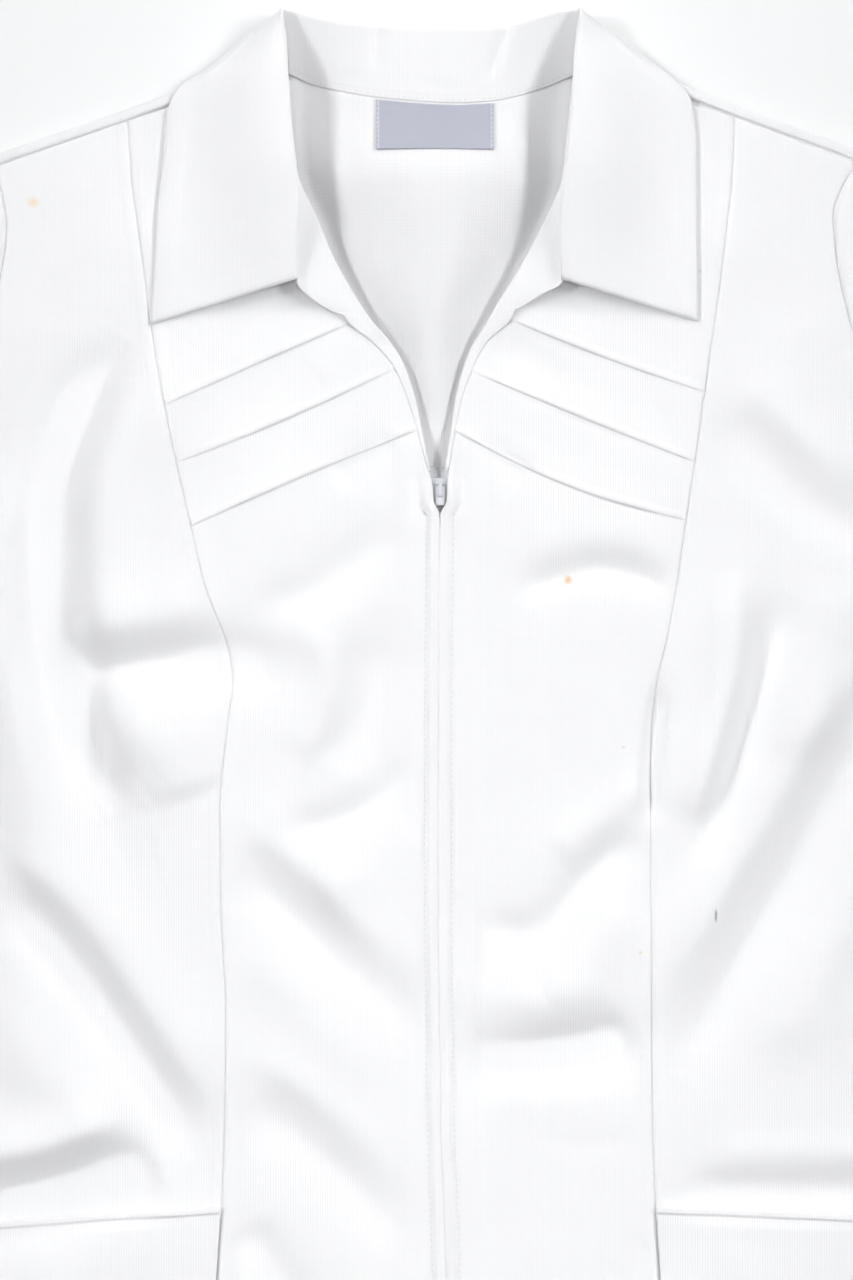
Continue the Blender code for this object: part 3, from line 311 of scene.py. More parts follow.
# Rows of the collar's leaves, from the neck down
LEAF_ROWS = {
    Side.LEFT: table(CollarRow, (-72.9, 381.5, -75.6, 380.4, 9.4, 6.6),
        (-72.2, 374, -92, 368.8, 9.6, 6.6), (-71.2, 366, -108.5, 354.4, 9.8, 4.4),
        (-70.6, 357, -121.9, 345, 10.0, 1.0), (-70, 345, -128.1, 333.8, 10.2, 0),
        (-69, 329, -130, 313.3, 10.2, 0), (-66.8, 310, -132.3, 292, 10.2, 0),
        (-64.8, 290, -133.8, 268, 10.0, 0), (-65.8, 271, -135, 248, 9.8, 0),
        (-65.9, 252.6, -136.2, 231.2, 9.6, 0)),
    Side.RIGHT: table(CollarRow, (67.6, 381.5, 70.4, 380.4, 9.4, 6.6),
        (66.4, 374, 83.4, 371.6, 9.6, 6.6), (65.4, 366, 97.8, 360.8, 9.8, 5.0),
        (64.6, 357, 111.2, 349.8, 10.0, 0.6), (63.9, 345, 121, 337.6, 10.2, 0),
        (62.9, 329, 123.2, 318, 10.2, 0), (61.2, 310, 123.4, 297, 10.2, 0),
        (58.8, 290, 123.4, 275, 10.0, 0), (58.3, 271, 123.8, 253, 9.8, 0),
        (58.9, 252.4, 123.9, 232.6, 9.6, 0)),
}
# Rows of the turned-out facing, down to where its narrow roll begins
FACING_ROWS = {
    Side.LEFT: table(FacingRow, (347, -75.5, 349, 5.8), (328, -74.5, 331, 6.0),
        (310, -72.5, 313, 6.2), (292, -70.5, 295, 6.4), (275, -69.5, 277, 6.2), (259, -68.5, 262, 6.2),
        (247, -66.5, 250.6, 6.2), (241, -58.6, 242.6, 4.0), (236, -51.4, 237.8, 1.6)),
    Side.RIGHT: table(FacingRow, (347, 69.5, 349, 5.8), (328, 67.5, 331, 6.0),
        (310, 66, 313, 6.2), (292, 64.4, 295, 6.4), (275, 63, 277, 6.2), (261, 61.5, 264, 6.2),
        (249, 59.6, 251.2, 6.2), (244, 50, 245.4, 4.0), (239, 42.5, 240.6, 1.6)),
}
# Finer creases of the front, beside and across the large folds
FINE_CREASES = table(
    Fold,
    (-1.0, 4.0, ((-141, 228), (-166, 196), (-182, 150)), 1.6),
    (-1.2, 5.0, ((-176, 92), (-172, 62), (-158, 20), (-152, 0)), 1.6),
    (-1.1, 4.5, ((-178, 63), (-150, 69), (-118, 74), (-98, 72)), 1.6),
    (-0.9, 4.5, ((-208, -184), (-190, -178), (-160, -170), (-137, -157)), 1.5),
    (-0.7, 5.0, ((-12, 20), (-43, -3), (-72, -11)), 1.6),
    (-0.7, 4.5, ((42, 104), (60, 111), (78, 115), (98, 111), (110, 104)), 1.6),
    (-0.8, 4.5, ((10, -111), (40, -112), (70, -108), (92, -101)), 1.6),
    (-0.7, 5.0, ((90, -14), (68, -34), (46, -56), (24, -55)), 1.6),
    (-0.8, 5.0, ((164, 98), (154, 66), (144, 30), (128, -20)), 1.6),
    (0.7, 4.0, ((134, 104), (132, 60), (128, 24), (122, -10)), 1.6),
    (-0.6, 6.0, ((196, 22), (170, -26), (138, -82), (113, -124)), 1.8),
    (-0.6, 6.0, ((-206, -44), (-176, -78), (-138, -128), (-114, -164)), 1.8),
    (-0.6, 5.0, ((-88, -32), (-58, -62), (-26, -90), (-8, -106)), 1.8),
    (-0.5, 6.0, ((-88, -140), (-52, -166), (-16, -203)), 1.8),
    (-0.5, 5.0, ((-28, 96), (-30, 70), (-38, 30)), 1.8),
    (0.4, 5.0, ((-66, 96), (-52, 60), (-62, 20)), 1.8),
    (-0.4, 6.0, ((-166, 310), (-176, 290), (-184, 262)), 1.8),
    (-0.4, 6.0, ((150, 285), (162, 270), (175, 258)), 1.8),
    (-0.5, 5.0, ((54, -158), (70, -160), (88, -156)), 1.8),
    (-0.5, 6.0, ((26, -203), (38, -196), (50, -188)), 1.8),
    (-0.6, 6.0, ((82, -224), (90, -214), (100, -204)), 1.8),
    (-0.5, 6.0, ((198, -70), (190, -80), (180, -92)), 1.8),
)
# Soft troughs of the back's inner face, seen in the V
BACK_FOLDS = table(
    Fold,
    (-1.3, 9.0, ((-25, 322), (-24, 300), (-21, 268), (-15, 236), (-6, 203), (0, 170)), 1.8),
    (-1.2, 8.0, ((40, 300), (35, 274), (27, 258), (20, 252), (12, 235), (6, 208)), 1.8),
    (0.8, 14.0, ((4, 300), (3, 270), (3, 240))),
    (-0.8, 9.0, ((-50, 340), (-47, 318), (-40, 296)), 1.8),
    (-0.8, 9.0, ((48, 336), (50, 316), (46, 296)), 1.8),
)
# Small stains and specks on the cloth
MARKS = table(
    Mark,
    (-192.4, 290.0, 2.6, 2.4, (0.86, 0.66, 0.42, 1.0), 0.55),
    (62.4, 110.0, 1.9, 2.1, (0.7, 0.42, 0.2, 1.0), 0.75),
    (88.6, 30.5, 0.8, 0.8, (0.75, 0.6, 0.42, 1.0), 0.6),
    (96.7, -67.1, 0.9, 0.8, (0.75, 0.6, 0.42, 1.0), 0.6),
    (132.4, -49.5, 0.6, 3.0, (0.2, 0.2, 0.24, 1.0), 0.8),
    (124.8, 256.7, 0.7, 0.7, (0.6, 0.55, 0.5, 1.0), 0.5),
)
# A pressed tuck from above its folded edge to the cloth below it:
# shift of the outer face, share of the tuck's rise, shift of the inner face
TUCK_PROFILE = (
    (1.9, 1.0, 1.9), (1.1, 1.0, 1.2), (0.5, 0.97, 0.7), (0.1, 0.85, 0.3), (-0.1, 0.62, 0.0),
    (-0.2, 0.38, -0.2), (-0.4, 0.2, -0.4), (-0.65, 0.1, -0.65), (-0.9, 0.04, -0.9), (-1.2, 0.0, -1.2),
)
# Length that a tuck's own rows take up on each side of its folded edge
TUCK_ROOM = 2.6
# Distances of a panel's fine columns from a seam
NEAR_SEAM = (0.0, 0.35, 0.8, 1.4, 2.2, 3.4, 4.6, 5.5, 6.2, 6.9, 7.8)
# Creases of the pockets, the sleeves, the collar and the label
POCKET_CREASES = table(
    Fold,
    (-1.0, 9.0, ((-205, -200), (-203, -240), (-200, -290)), 1.8),
    (-0.8, 8.0, ((-165, -205), (-160, -250), (-150, -310)), 1.8),
    (-0.9, 9.0, ((122, -200), (126, -240), (124, -300)), 1.8),
    (-0.8, 8.0, ((180, -205), (182, -250), (190, -300)), 1.8),
)
SLEEVE_CREASES: dict[Side, list[Fold]] = {
    Side.LEFT: table(
        Fold,
        (-1.6, 9.0, ((-215, 250), (-240, 190), (-262, 120)), 1.8),
        (-1.2, 8.0, ((-235, 270), (-280, 215), (-310, 150)), 1.8),
        (1.0, 10.0, ((-225, 215), (-262, 160))),
    ),
    Side.RIGHT: table(
        Fold,
        (-1.6, 9.0, ((200, 240), (226, 186), (255, 120)), 1.8),
        (-1.2, 8.0, ((222, 268), (270, 214), (304, 150)), 1.8),
        (1.0, 10.0, ((212, 214), (250, 160))),
    ),
}
LEAF_WAVES: dict[Side, list[Fold]] = {
    Side.LEFT: table(
        Fold,
        (0.7, 12.0, ((-84, 352), (-88, 320), (-92, 280))),
        (-0.5, 10.0, ((-112, 330), (-112, 300), (-110, 262))),
    ),
    Side.RIGHT: table(
        Fold,
        (0.7, 12.0, ((76, 352), (80, 320), (84, 280))),
        (-0.5, 10.0, ((104, 326), (104, 300), (102, 262))),
    ),
}
BAND_FINE = table(
    Fold,
    (-1.0, 2.0, ((-29.5, 377), (-29, 368), (-30, 357)), 1.5),
    (-1.0, 2.0, ((34.5, 378), (30, 364), (25, 350)), 1.5),
    (0.5, 4.0, ((-37, 376), (-37, 366), (-39, 350)), 1.8),
    (0.5, 4.0, ((40, 378), (37, 364), (32, 350)), 1.8),
    (-0.6, 5.0, ((-58, 376), (-56, 362), (-54, 350)), 1.8),
    (-0.6, 5.0, ((54, 376), (52, 362), (48, 350)), 1.8),
)
LABEL_WAVES = table(
    Fold,
    (0.5, 7.0, ((-22, 336), (-21, 326), (-22, 314))),
    (0.4, 8.0, ((14, 336), (15, 326), (14, 314))),
)


def bend(ts: Grid, values: Grid, at: Grid) -> Grid:
    """Cubic curve through (ts, values) that never swings past its own points.

    Args:
        ts: Places of the points, rising.
        values: Values there.
        at: Places to read.

    Returns:
        The curve's values at those places.
    """
    at = np.clip(np.asarray(at, dtype=float), ts[0], ts[-1])
    step = np.diff(ts)
    grade = np.diff(values) / step
    slope = np.zeros(len(ts))
    slope[0], slope[-1] = grade[0], grade[-1]
    same_way = grade[1:] * grade[:-1] > 0
    shared = 2 * grade[1:] * grade[:-1] / np.where(same_way, grade[1:] + grade[:-1], 1)
    slope[1:-1] = np.where(same_way, shared, 0)
    k = np.clip(np.searchsorted(ts, at, side="right") - 1, 0, len(ts) - 2)
    h = step[k]
    s = (at - ts[k]) / h
    return ((1 + 2 * s) * (1 - s) ** 2 * values[k] + s * (1 - s) ** 2 * h * slope[k]
            + s * s * (3 - 2 * s) * values[k + 1] + s * s * (s - 1) * h * slope[k + 1])


def through(stations: Sequence[Station], at: Grid) -> Grid:
    """Read an edge that runs up the garment.

    Args:
        stations: The edge's table.
        at: Values of y.

    Returns:
        The edge's x at each y.
    """
    rows = np.array(stations, dtype=float)
    rows = rows[np.argsort(rows[:, 0])]
    return bend(rows[:, 0], rows[:, 1], at)


def across(edge: Sequence, at: Grid) -> Grid:
    """Read an edge that runs across the garment: its y at each x."""
    rows = np.array(edge, dtype=float)
    return bend(rows[:, 0], rows[:, 1], at)


def moved(edge: Sequence[Station], shift: float) -> list[Station]:
    """An edge moved sideways, so that two pieces leave a hair between them."""
    return [Station(row.y, row.x + shift) for row in edge]


def between(ends: Sequence, share: Grid) -> Grid:
    """Places at the given shares of the way between two ends."""
    return ends[0] + (ends[1] - ends[0]) * share


def ease(value: Grid) -> Grid:
    """0 to 1 with soft ends."""
    value = np.clip(value, 0, 1)
    return value * value * (3 - 2 * value)


def route_points(route: tuple, count: int) -> Grid:
    """Points spread along a smooth route.

    Args:
        route: The points it runs through.
        count: How many points to give.

    Returns:
        An array of count rows of x and y.
    """
    corners = np.array(route, dtype=float)
    knots = np.concatenate([[0], np.cumsum(np.hypot(*np.diff(corners, axis=0).T))])
    at = np.linspace(0, knots[-1], count)
    return np.stack([bend(knots, corners[:, 0], at), bend(knots, corners[:, 1], at)], axis=-1)


def fold_height(folds: Sequence[Fold], x: Grid, y: Grid) -> Grid:
    """Sum of the ridges and troughs at the given points.

    Args:
        folds: The folds to add up.
        x: X of the points.
        y: Y of the points.

    Returns:
        The height at each point.
    """
    x, y = np.broadcast_arrays(np.asarray(x, dtype=float), np.asarray(y, dtype=float))
    total = np.zeros(x.shape)
    for fold in folds:
        line = route_points(fold.route, ROUTE_POINTS)
        reach = 3.2 * fold.width * (1 + abs(fold.lean))
        low, high = line.min(axis=0) - reach, line.max(axis=0) + reach
        near = (x > low[0]) & (x < high[0]) & (y > low[1]) & (y < high[1])
        if not near.any():
            continue
        px, py = x[near], y[near]
        off_x, off_y = px[:, None] - line[:, 0], py[:, None] - line[:, 1]
        off = np.hypot(off_x, off_y)
        nearest = np.argmin(off, axis=1)
        gap = np.take_along_axis(off, nearest[:, None], axis=1)[:, 0]
        way = np.gradient(line, axis=0)[nearest]
        pick = np.arange(len(nearest))
        left = np.sign(way[:, 0] * off_y[pick, nearest] - way[:, 1] * off_x[pick, nearest])
        width = fold.width * (1 + fold.lean * left)
        along = nearest / (len(line) - 1)
        fade = ease(4 * along + 0.25) * ease(4 * (1 - along) + 0.25)
        total[near] += fold.rise * fade * np.exp(-(gap / width) ** fold.peak)
    return total


def zip_line(y: Grid) -> Grid:
    """The line where the two lips over the zip meet."""
    return (through(FRONT_EDGE[Side.LEFT], y) + through(FRONT_EDGE[Side.RIGHT], y)) / 2


def edge_roll(gap: Grid, radius: float, depth: float) -> Grid:
    """Drop of a rolled edge.

    Args:
        gap: Distance from the edge.
        radius: How far in the roll reaches.
        depth: Drop at the edge itself.

    Returns:
        How much lower the face is at each distance.
    """
    t = np.clip(1 - gap / radius, 0, 1)
    return depth * (1 - np.sqrt(1 - t * t))


def two_rolls(share: Grid, width: Grid, radius: Grid, first: float, last: float) -> Grid:
    """Drop of two facing edges.

    Args:
        share: Share of the way from the first edge to the last.
        width: The whole way.
        radius: How far in each roll reaches.
        first: Drop at the first edge.
        last: Drop at the last edge.

    Returns:
        How much lower the face is at each place.
    """
    return edge_roll(share * width, radius, first) + edge_roll((1 - share) * width, radius, last)


def swell(gap: Grid, place: float, width: float) -> Grid:
    """A soft ridge, 1 high, at a distance from an edge."""
    return np.exp(-((gap - place) / width) ** 2)


@dataclass(frozen=True)
class LaidForm:
    """Heights of the laid garment in millimetres, shared by all panels so that they nest."""
    cloth: float = 1.2
    gap: float = 0.3
    front_lift: float = 2.5
    back_lift: float = 1.8
    puff: float = 3.2
    puff_edge: float = 42.0
    puff_swell: float = 0.8
    fold_swell: float = 0.9
    zip_calm: float = 16.0
    swell_reach: float = 34.0
    fold_floor: float = 0.4
    ridge: float = 20.0
    ridge_reach: float = 60.0
    tape_width: float = 14.0
    tape_lift: float = 1.3
    left_shoulder: tuple = (-147.1, 334.8)
    left_slope: float = 0.344
    right_shoulder: tuple = (141.0, 337.1)
    right_slope: float = 0.366

    @property
    def front_base(self) -> float:
        """Height at which the front lies on the flat back."""
        return self.cloth + self.gap

    def shoulder_y(self, x: Grid) -> Grid:
        """Outline of the shoulders at each x."""
        left = self.left_shoulder[1] - self.left_slope * (self.left_shoulder[0] - x)
        right = self.right_shoulder[1] - self.right_slope * (x - self.right_shoulder[0])
        return np.where(x < -4, left, right)

    def neck_ridge(self, x: Grid, y: Grid) -> Grid:
        """The back's raised middle, seen in the V of the open neck."""
        left = through(V_EDGE[Side.LEFT], y)
        right = through(V_EDGE[Side.RIGHT], y)
        half = np.maximum(0.94 * (right - left) / 2, 1.0)
        reach = np.minimum(half, self.ridge_reach)
        climb = np.clip((1 - np.abs(x - (left + right) / 2) / reach) / 0.9, 0, 1)
        dome = 0.35 * ease(climb) + 0.65 * (1 - (1 - climb) ** 2)
        height = self.ridge * (1 - 0.6 * ease((y - 298) / 38)) * (reach / self.ridge_reach) ** 0.7
        return height * ease((y - V_FOOT_Y) / 40) * dome

    def below_collar(self, x: Grid) -> Grid:
        """1 where the collar's fall lies below the back, 0 out on the shoulders."""
        return ease((150 - np.abs(x - NECK_X)) / 30)

    def back_bottom(self, x: Grid, y: Grid) -> Grid:
        """Underside of the back: flat on the table but for the collar's fall and the neck."""
        return self.back_lift * ease((y - 262) / 60) * self.below_collar(x) + self.neck_ridge(x, y)

    def puff_height(self, x: Grid, y: Grid) -> Grid:
        """Loose air between the front and the back."""
        inside = ease((x - through(SIDE_EDGE[Side.LEFT], y)) / self.puff_edge)
        inside = inside * ease((through(SIDE_EDGE[Side.RIGHT], y) - x) / self.puff_edge)
        inside = inside * ease((y - HEM_Y) / 60) * ease((self.shoulder_y(x) - y) / 70)
        away = ease((np.abs(x - zip_line(y)) - self.zip_calm) / self.swell_reach)
        away = away * (1 - ease((y - 150) / 60))
        away = np.maximum(away, ease((np.abs(x) - 95) / 30) * (1 - ease((y - 262) / 40)))
        folds = fold_height(FRONT_FOLDS, x, y) + fold_height(FINE_CREASES, x, y)
        loose = inside * (self.puff * (1 + self.puff_swell * away) + (1 + self.fold_swell * away) * folds)
        return 0.5 * (loose + np.sqrt(loose * loose + self.fold_floor ** 2))

    def front_bottom(self, x: Grid, y: Grid) -> Grid:
        """Underside of the front panels."""
        near_zip = 1 - ease((np.abs(x - zip_line(y)) - self.tape_width - 1) / 9)
        tape = self.tape_lift * near_zip * (1 - ease((y - 168) / 20))
        neck = self.front_lift * ease((y - 222) / 92) * self.below_collar(x)
        slider = fold_height(PUCKERS, x, y)
        return self.front_base + tape + neck + slider + self.puff_height(x, y)

    def front_top(self, x: Grid, y: Grid) -> Grid:
        """Outer face of the front panels away from the tucks."""
        return self.front_bottom(x, y) + self.cloth


FORM = LaidForm()


def stack(x: Grid, y: Grid, z: Grid) -> Grid:
    """Three equal grids as one grid of points."""
    return np.stack(np.broadcast_arrays(x, y, z), axis=-1)


def spread(width: Grid, near: Sequence[float], count: int) -> Grid:
    """Columns across a panel, finer beside both of its edges.

    Args:
        width: The panel's width in each row, as one column.
        near: Distances of the fine columns from an edge, the first one 0.
        count: How many even columns lie between them.

    Returns:
        For each row, the columns' places as shares of its width.
    """
    close = np.array(near)[None, :] / width
    start, end = close[:, -1:], 1 - close[:, -1:]
    middle = start + (end - start) * np.linspace(0, 1, count + 2)[None, 1:-1]
    return np.concatenate([close, middle, 1 - close[:, ::-1]], axis=1)


def link_new(name: str, data: bpy.types.ID) -> bpy.types.Object:
    """A new object in the scene."""
    thing = bpy.data.objects.new(name, data)
    bpy.context.scene.collection.objects.link(thing)
    return thing


def make_piece(name: str, points: Grid, faces: Sequence, material: bpy.types.Material) -> bpy.types.Object:
    """One closed piece from points in millimetres.

    Args:
        name: The piece's name.
        points: Its points, in millimetres.
        faces: Its faces, as point numbers.
        material: Its finish.

    Returns:
        The linked object, at the origin, with its faces turned outwards.
    """
    mesh = bpy.data.meshes.new(name)
    mesh.from_pydata((np.asarray(points, dtype=float) * MM).tolist(), [], faces)
    body = bmesh.new()
    body.from_mesh(mesh)
    bmesh.ops.recalc_face_normals(body, faces=body.faces)
    body.to_mesh(mesh)
    body.free()
    mesh.shade_smooth()
    mesh.materials.append(material)
    return link_new(name, mesh)


def wall_faces(rows: int, columns: int) -> list:
    """Faces of a wall between two grids of points that share rows and columns.

    Args:
        rows: Number of rows in a grid.
        columns: Number of columns in a grid.

    Returns:
        The faces of the top grid, of the bottom grid and of the rim.
    """
    size = rows * columns
    index = np.arange(size).reshape(rows, columns)
    quads = np.stack([index[:-1, :-1], index[:-1, 1:], index[1:, 1:], index[1:, :-1]], axis=-1)
    quads = quads.reshape(-1, 4)
    rim = np.concatenate([index[0, :], index[1:, -1], index[-1, -2::-1], index[-2:0:-1, 0]])
    after = np.roll(rim, -1)
    around = np.stack([rim, after, size + after, size + rim], axis=-1)
    return np.concatenate([quads, size + quads[:, ::-1], around]).tolist()


def wall(name: str, top: Grid, bottom: Grid, material: bpy.types.Material) -> bpy.types.Object:
    """A cloth wall between two grids of points.

    Args:
        name: The piece's name.
        top: Its outer face, rows by columns by 3, in millimetres.
        bottom: Its inner face, the same way.
        material: Its finish.

    Returns:
        The closed piece.
    """
    points = np.concatenate([top.reshape(-1, 3), bottom.reshape(-1, 3)])
    return make_piece(name, points, wall_faces(*top.shape[:2]), material)


def lay_sheet(piece: bpy.types.Object, node: str, outline: Grid,
              layers: int = 1) -> None:
    """Put a laid cloth piece in its node's place and state its cut.

    Args:
        piece: The piece.
        node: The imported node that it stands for.
        outline: The cut's edge as rows of x and y, in millimetres.
        layers: 2 for a flattened tube, which is cut twice as wide.
    """
    x, y = outline[:, 0], outline[:, 1]
    area = abs(np.dot(x, np.roll(y, -1)) - np.dot(y, np.roll(x, -1))) / 2
    sizes = []
    for turn in np.radians(np.arange(-45, 46, 1.0)):
        sizes.append((np.ptp(x * np.cos(turn) - y * np.sin(turn)),
                      np.ptp(x * np.sin(turn) + y * np.cos(turn))))
    width, length = min(sizes, key=lambda size: size[0] * size[1])
    if area < STRIP_SHARE * width * length:  # a long curved strip is stated as if straightened
        length = float(np.hypot(x - np.roll(x, -1), y - np.roll(y, -1)).sum()) / 2
        width = max(area / length, LEAST_STRIP)
    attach(piece, "garment")
    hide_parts(node)
    LOG.info("%s: %d points, cut %.0f x %.0f mm", piece.name, len(piece.data.vertices),
             layers * width, length)


def rim_of(grid: Grid) -> Grid:
    """The points round a grid's edge, as rows of x and y."""
    return np.concatenate([grid[0, :, :2], grid[1:, -1, :2], grid[-1, -2::-1, :2], grid[-2:0:-1, 0, :2]])


def lay_cloth(node: str, top: Grid, bottom: Grid, material: bpy.types.Material) -> bpy.types.Object:
    """A laid cloth piece in its node's place.

    Args:
        node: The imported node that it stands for.
        top: Its outer face, in millimetres.
        bottom: Its inner face, the same way.
        material: Its finish.

    Returns:
        The piece.
    """
    piece = wall(f"{node}_cloth", top, bottom, material)
    lay_sheet(piece, node, rim_of(top))
    return piece


class NodeBoard:
    """Places shader nodes and links them in one tree."""

    def __init__(self, tree: bpy.types.NodeTree) -> None:
        """Keep the tree."""
        self.tree = tree

    def put(self, kind: str, inputs: dict | None = None, **settings: object) -> bpy.types.Node:
        """Add a node.

        Args:
            kind: The node's type.
            inputs: A value or a socket by input.
            settings: The node's own properties.

        Returns:
            The node.
        """
        node = self.tree.nodes.new(kind)
        for key, value in settings.items():
            setattr(node, key, value)
        self.feed(node, inputs or {})
        return node

    def feed(self, node: bpy.types.Node, inputs: dict) -> None:
        """Set a node's inputs, each from a number, a colour or a socket."""
        for key, value in inputs.items():
            if isinstance(value, bpy.types.NodeSocket):
                self.tree.links.new(value, node.inputs[key])
            else:
                node.inputs[key].default_value = value

    def sum_up(self, operation: str, first: object, second: object = 0.0) -> bpy.types.NodeSocket:
        """The result of one Math node on sockets or numbers."""
        return self.put("ShaderNodeMath", {0: first, 1: second}, operation=operation).outputs[0]

    def blend(self, factor: bpy.types.NodeSocket, first: object, second: object) -> bpy.types.NodeSocket:
        """A colour between two others."""
        mix = self.put("ShaderNodeMix", {"Factor": factor, "A": first, "B": second}, data_type="RGBA")
        return mix.outputs["Result"]

    def relief(self, shader: bpy.types.Node, height: bpy.types.NodeSocket, strength: float,
               distance: float) -> None:
        """Give a shader its fine relief."""
        bump = self.put("ShaderNodeBump", {"Strength": strength, "Distance": distance, "Height": height})
        self.feed(shader, {"Normal": bump.outputs["Normal"]})


def new_group(name: str, inputs: dict, outputs: dict) -> tuple:
    """An empty shader group with named sockets.

    Args:
        name: The group's name.
        inputs: Socket type and default value by input name.
        outputs: Socket type by output name.

    Returns:
        The group, its board, its input node and its output node.
    """
    tree = bpy.data.node_groups.new(name, "ShaderNodeTree")
    for key, (kind, value) in inputs.items():
        socket = tree.interface.new_socket(key, in_out="INPUT", socket_type=kind)
        if value is not None:
            socket.default_value = value
    for key, kind in outputs.items():
        tree.interface.new_socket(key, in_out="OUTPUT", socket_type=kind)
    board = NodeBoard(tree)
    return tree, board, board.put("NodeGroupInput"), board.put("NodeGroupOutput")


def knit_group() -> bpy.types.NodeTree:
    """Relief and tone of a double knit: fine upright wales with loops along them."""
    inputs = {"Vector": ("NodeSocketVector", None), "Wale Pitch": ("NodeSocketFloat", 0.00118),
              "Loop Pitch": ("NodeSocketFloat", 0.0009), "Unevenness": ("NodeSocketFloat", 0.25)}
    tree, board, start, end = new_group("double_knit", inputs,
                                        {"Height": "NodeSocketFloat", "Tone": "NodeSocketFloat"})
    place = start.outputs["Vector"]
    split = board.put("ShaderNodeSeparateXYZ", {0: place})
    noise = board.put("ShaderNodeTexNoise", {"Scale": 900.0, "Detail": 2.0, "Vector": place})
    cloud = board.put("ShaderNodeTexNoise", {"Scale": 26.0, "Detail": 3.0, "Vector": place})
    waves = []
    for axis, pitch in (("X", "Wale Pitch"), ("Y", "Loop Pitch")):
        turns = board.sum_up("MULTIPLY", split.outputs[axis], FULL_TURN)
        waves.append(board.sum_up("SINE", board.sum_up("DIVIDE", turns, start.outputs[pitch])))
    wale, loop = waves
    rough = board.sum_up("MULTIPLY", noise.outputs["Fac"], start.outputs["Unevenness"])
    height = board.sum_up("ADD", board.sum_up("ADD", wale, board.sum_up("MULTIPLY", loop, 0.35)), rough)
    tone = board.sum_up("ADD", board.sum_up("MULTIPLY", wale, 0.1), cloud.outputs["Fac"])
    board.feed(end, {"Height": height, "Tone": tone})
    return tree


def mark_group() -> bpy.types.NodeTree:
    """Mask of one small soft-edged mark on the cloth."""
    inputs = {"Vector": ("NodeSocketVector", None), "Centre": ("NodeSocketVector", (0.0, 0.0, 0.0)),
              "Half Size": ("NodeSocketVector", (0.002, 0.002, 1.0)),
              "Strength": ("NodeSocketFloat", 0.5)}
    tree, board, start, end = new_group("cloth_mark", inputs, {"Mask": "NodeSocketFloat"})
    place = start.outputs["Vector"]
    shift = board.put("ShaderNodeVectorMath", {0: place, 1: start.outputs["Centre"]}, operation="SUBTRACT")
    scale = board.put("ShaderNodeVectorMath", {0: shift.outputs[0], 1: start.outputs["Half Size"]},
                      operation="DIVIDE")
    far = board.put("ShaderNodeVectorMath", {0: scale.outputs[0]}, operation="LENGTH").outputs["Value"]
    noise = board.put("ShaderNodeTexNoise", {"Scale": 600.0, "Vector": place})
    waver = board.sum_up("MULTIPLY", board.sum_up("SUBTRACT", noise.outputs["Fac"], 0.5), 0.8)
    fall = board.sum_up("SUBTRACT", 1.35, board.sum_up("ADD", far, waver))
    soft = board.put("ShaderNodeClamp", {"Value": fall})
    board.feed(end, {"Mask": board.sum_up("MULTIPLY", soft.outputs[0], start.outputs["Strength"])})
    return tree


def start_finish(name: str) -> tuple:
    """A new material, its board, its shader and the place on the object."""
    material = bpy.data.materials.new(name)
    material.use_nodes = True
    board = NodeBoard(material.node_tree)
    place = board.put("ShaderNodeTexCoord").outputs["Object"]
    return material, board, material.node_tree.nodes["Principled BSDF"], place


@dataclass(frozen=True)
class KnitFinish:
    """White double knit with fine wales, soft sheen and a few small marks."""
    name: str = "white_knit"
    colour: tuple = (0.893, 0.894, 0.905, 1.0)
    shade: tuple = (0.869, 0.870, 0.884, 1.0)
    wale_pitch: float = 0.00118
    loop_pitch: float = 0.0009
    relief: float = 0.00005
    turn: float = 0.0
    marks: tuple = ()

    def make(self, groups: dict) -> bpy.types.Material:
        """The finish as a material.

        Args:
            groups: The shader groups by name.

        Returns:
            The material.
        """
        material, board, shader, place = start_finish(self.name)
        board.feed(shader, {"Roughness": 0.86, "Sheen Weight": 0.12, "Sheen Roughness": 0.5,
                            "Specular IOR Level": 0.25})
        turned = board.put("ShaderNodeMapping", {"Rotation": Euler((0.0, 0.0, self.turn)), "Vector": place})
        knit = board.put("ShaderNodeGroup", node_tree=groups["knit"])
        board.feed(knit, {"Wale Pitch": self.wale_pitch, "Loop Pitch": self.loop_pitch,
                          "Vector": turned.outputs[0]})
        colour = board.blend(knit.outputs["Tone"], self.shade, self.colour)
        for mark in self.marks:
            spot = board.put("ShaderNodeGroup", node_tree=groups["mark"])
            board.feed(spot, {"Centre": (mark.x * MM, mark.y * MM, 0.0), "Vector": place,
                              "Half Size": (mark.half_x * MM, mark.half_y * MM, 1.0),
                              "Strength": mark.strength})
            colour = board.blend(spot.outputs["Mask"], colour, mark.colour)
        board.feed(shader, {"Base Color": colour})
        board.relief(shader, knit.outputs["Height"], 0.6, self.relief)
        return material


@dataclass(frozen=True)
class GrainFinish:
    """A plain surface with fine uneven grain: tape, thread, enamel or satin."""
    name: str
    colour: tuple
    shade: tuple
    roughness: float
    sheen: float = 0.0
    grain_scale: float = 900.0
    relief: float = 0.00004

    def make(self) -> bpy.types.Material:
        """The finish as a material."""
        material, board, shader, place = start_finish(self.name)
        noise = board.put("ShaderNodeTexNoise", {"Scale": self.grain_scale, "Detail": 3.0, "Vector": place})
        grain = noise.outputs["Fac"]
        rough = board.sum_up("ADD", board.sum_up("MULTIPLY", grain, 0.12), self.roughness - 0.06)
        board.feed(shader, {"Sheen Weight": self.sheen, "Roughness": rough,
                            "Base Color": board.blend(grain, self.shade, self.colour)})
        board.relief(shader, grain, 0.5, self.relief)
        return material


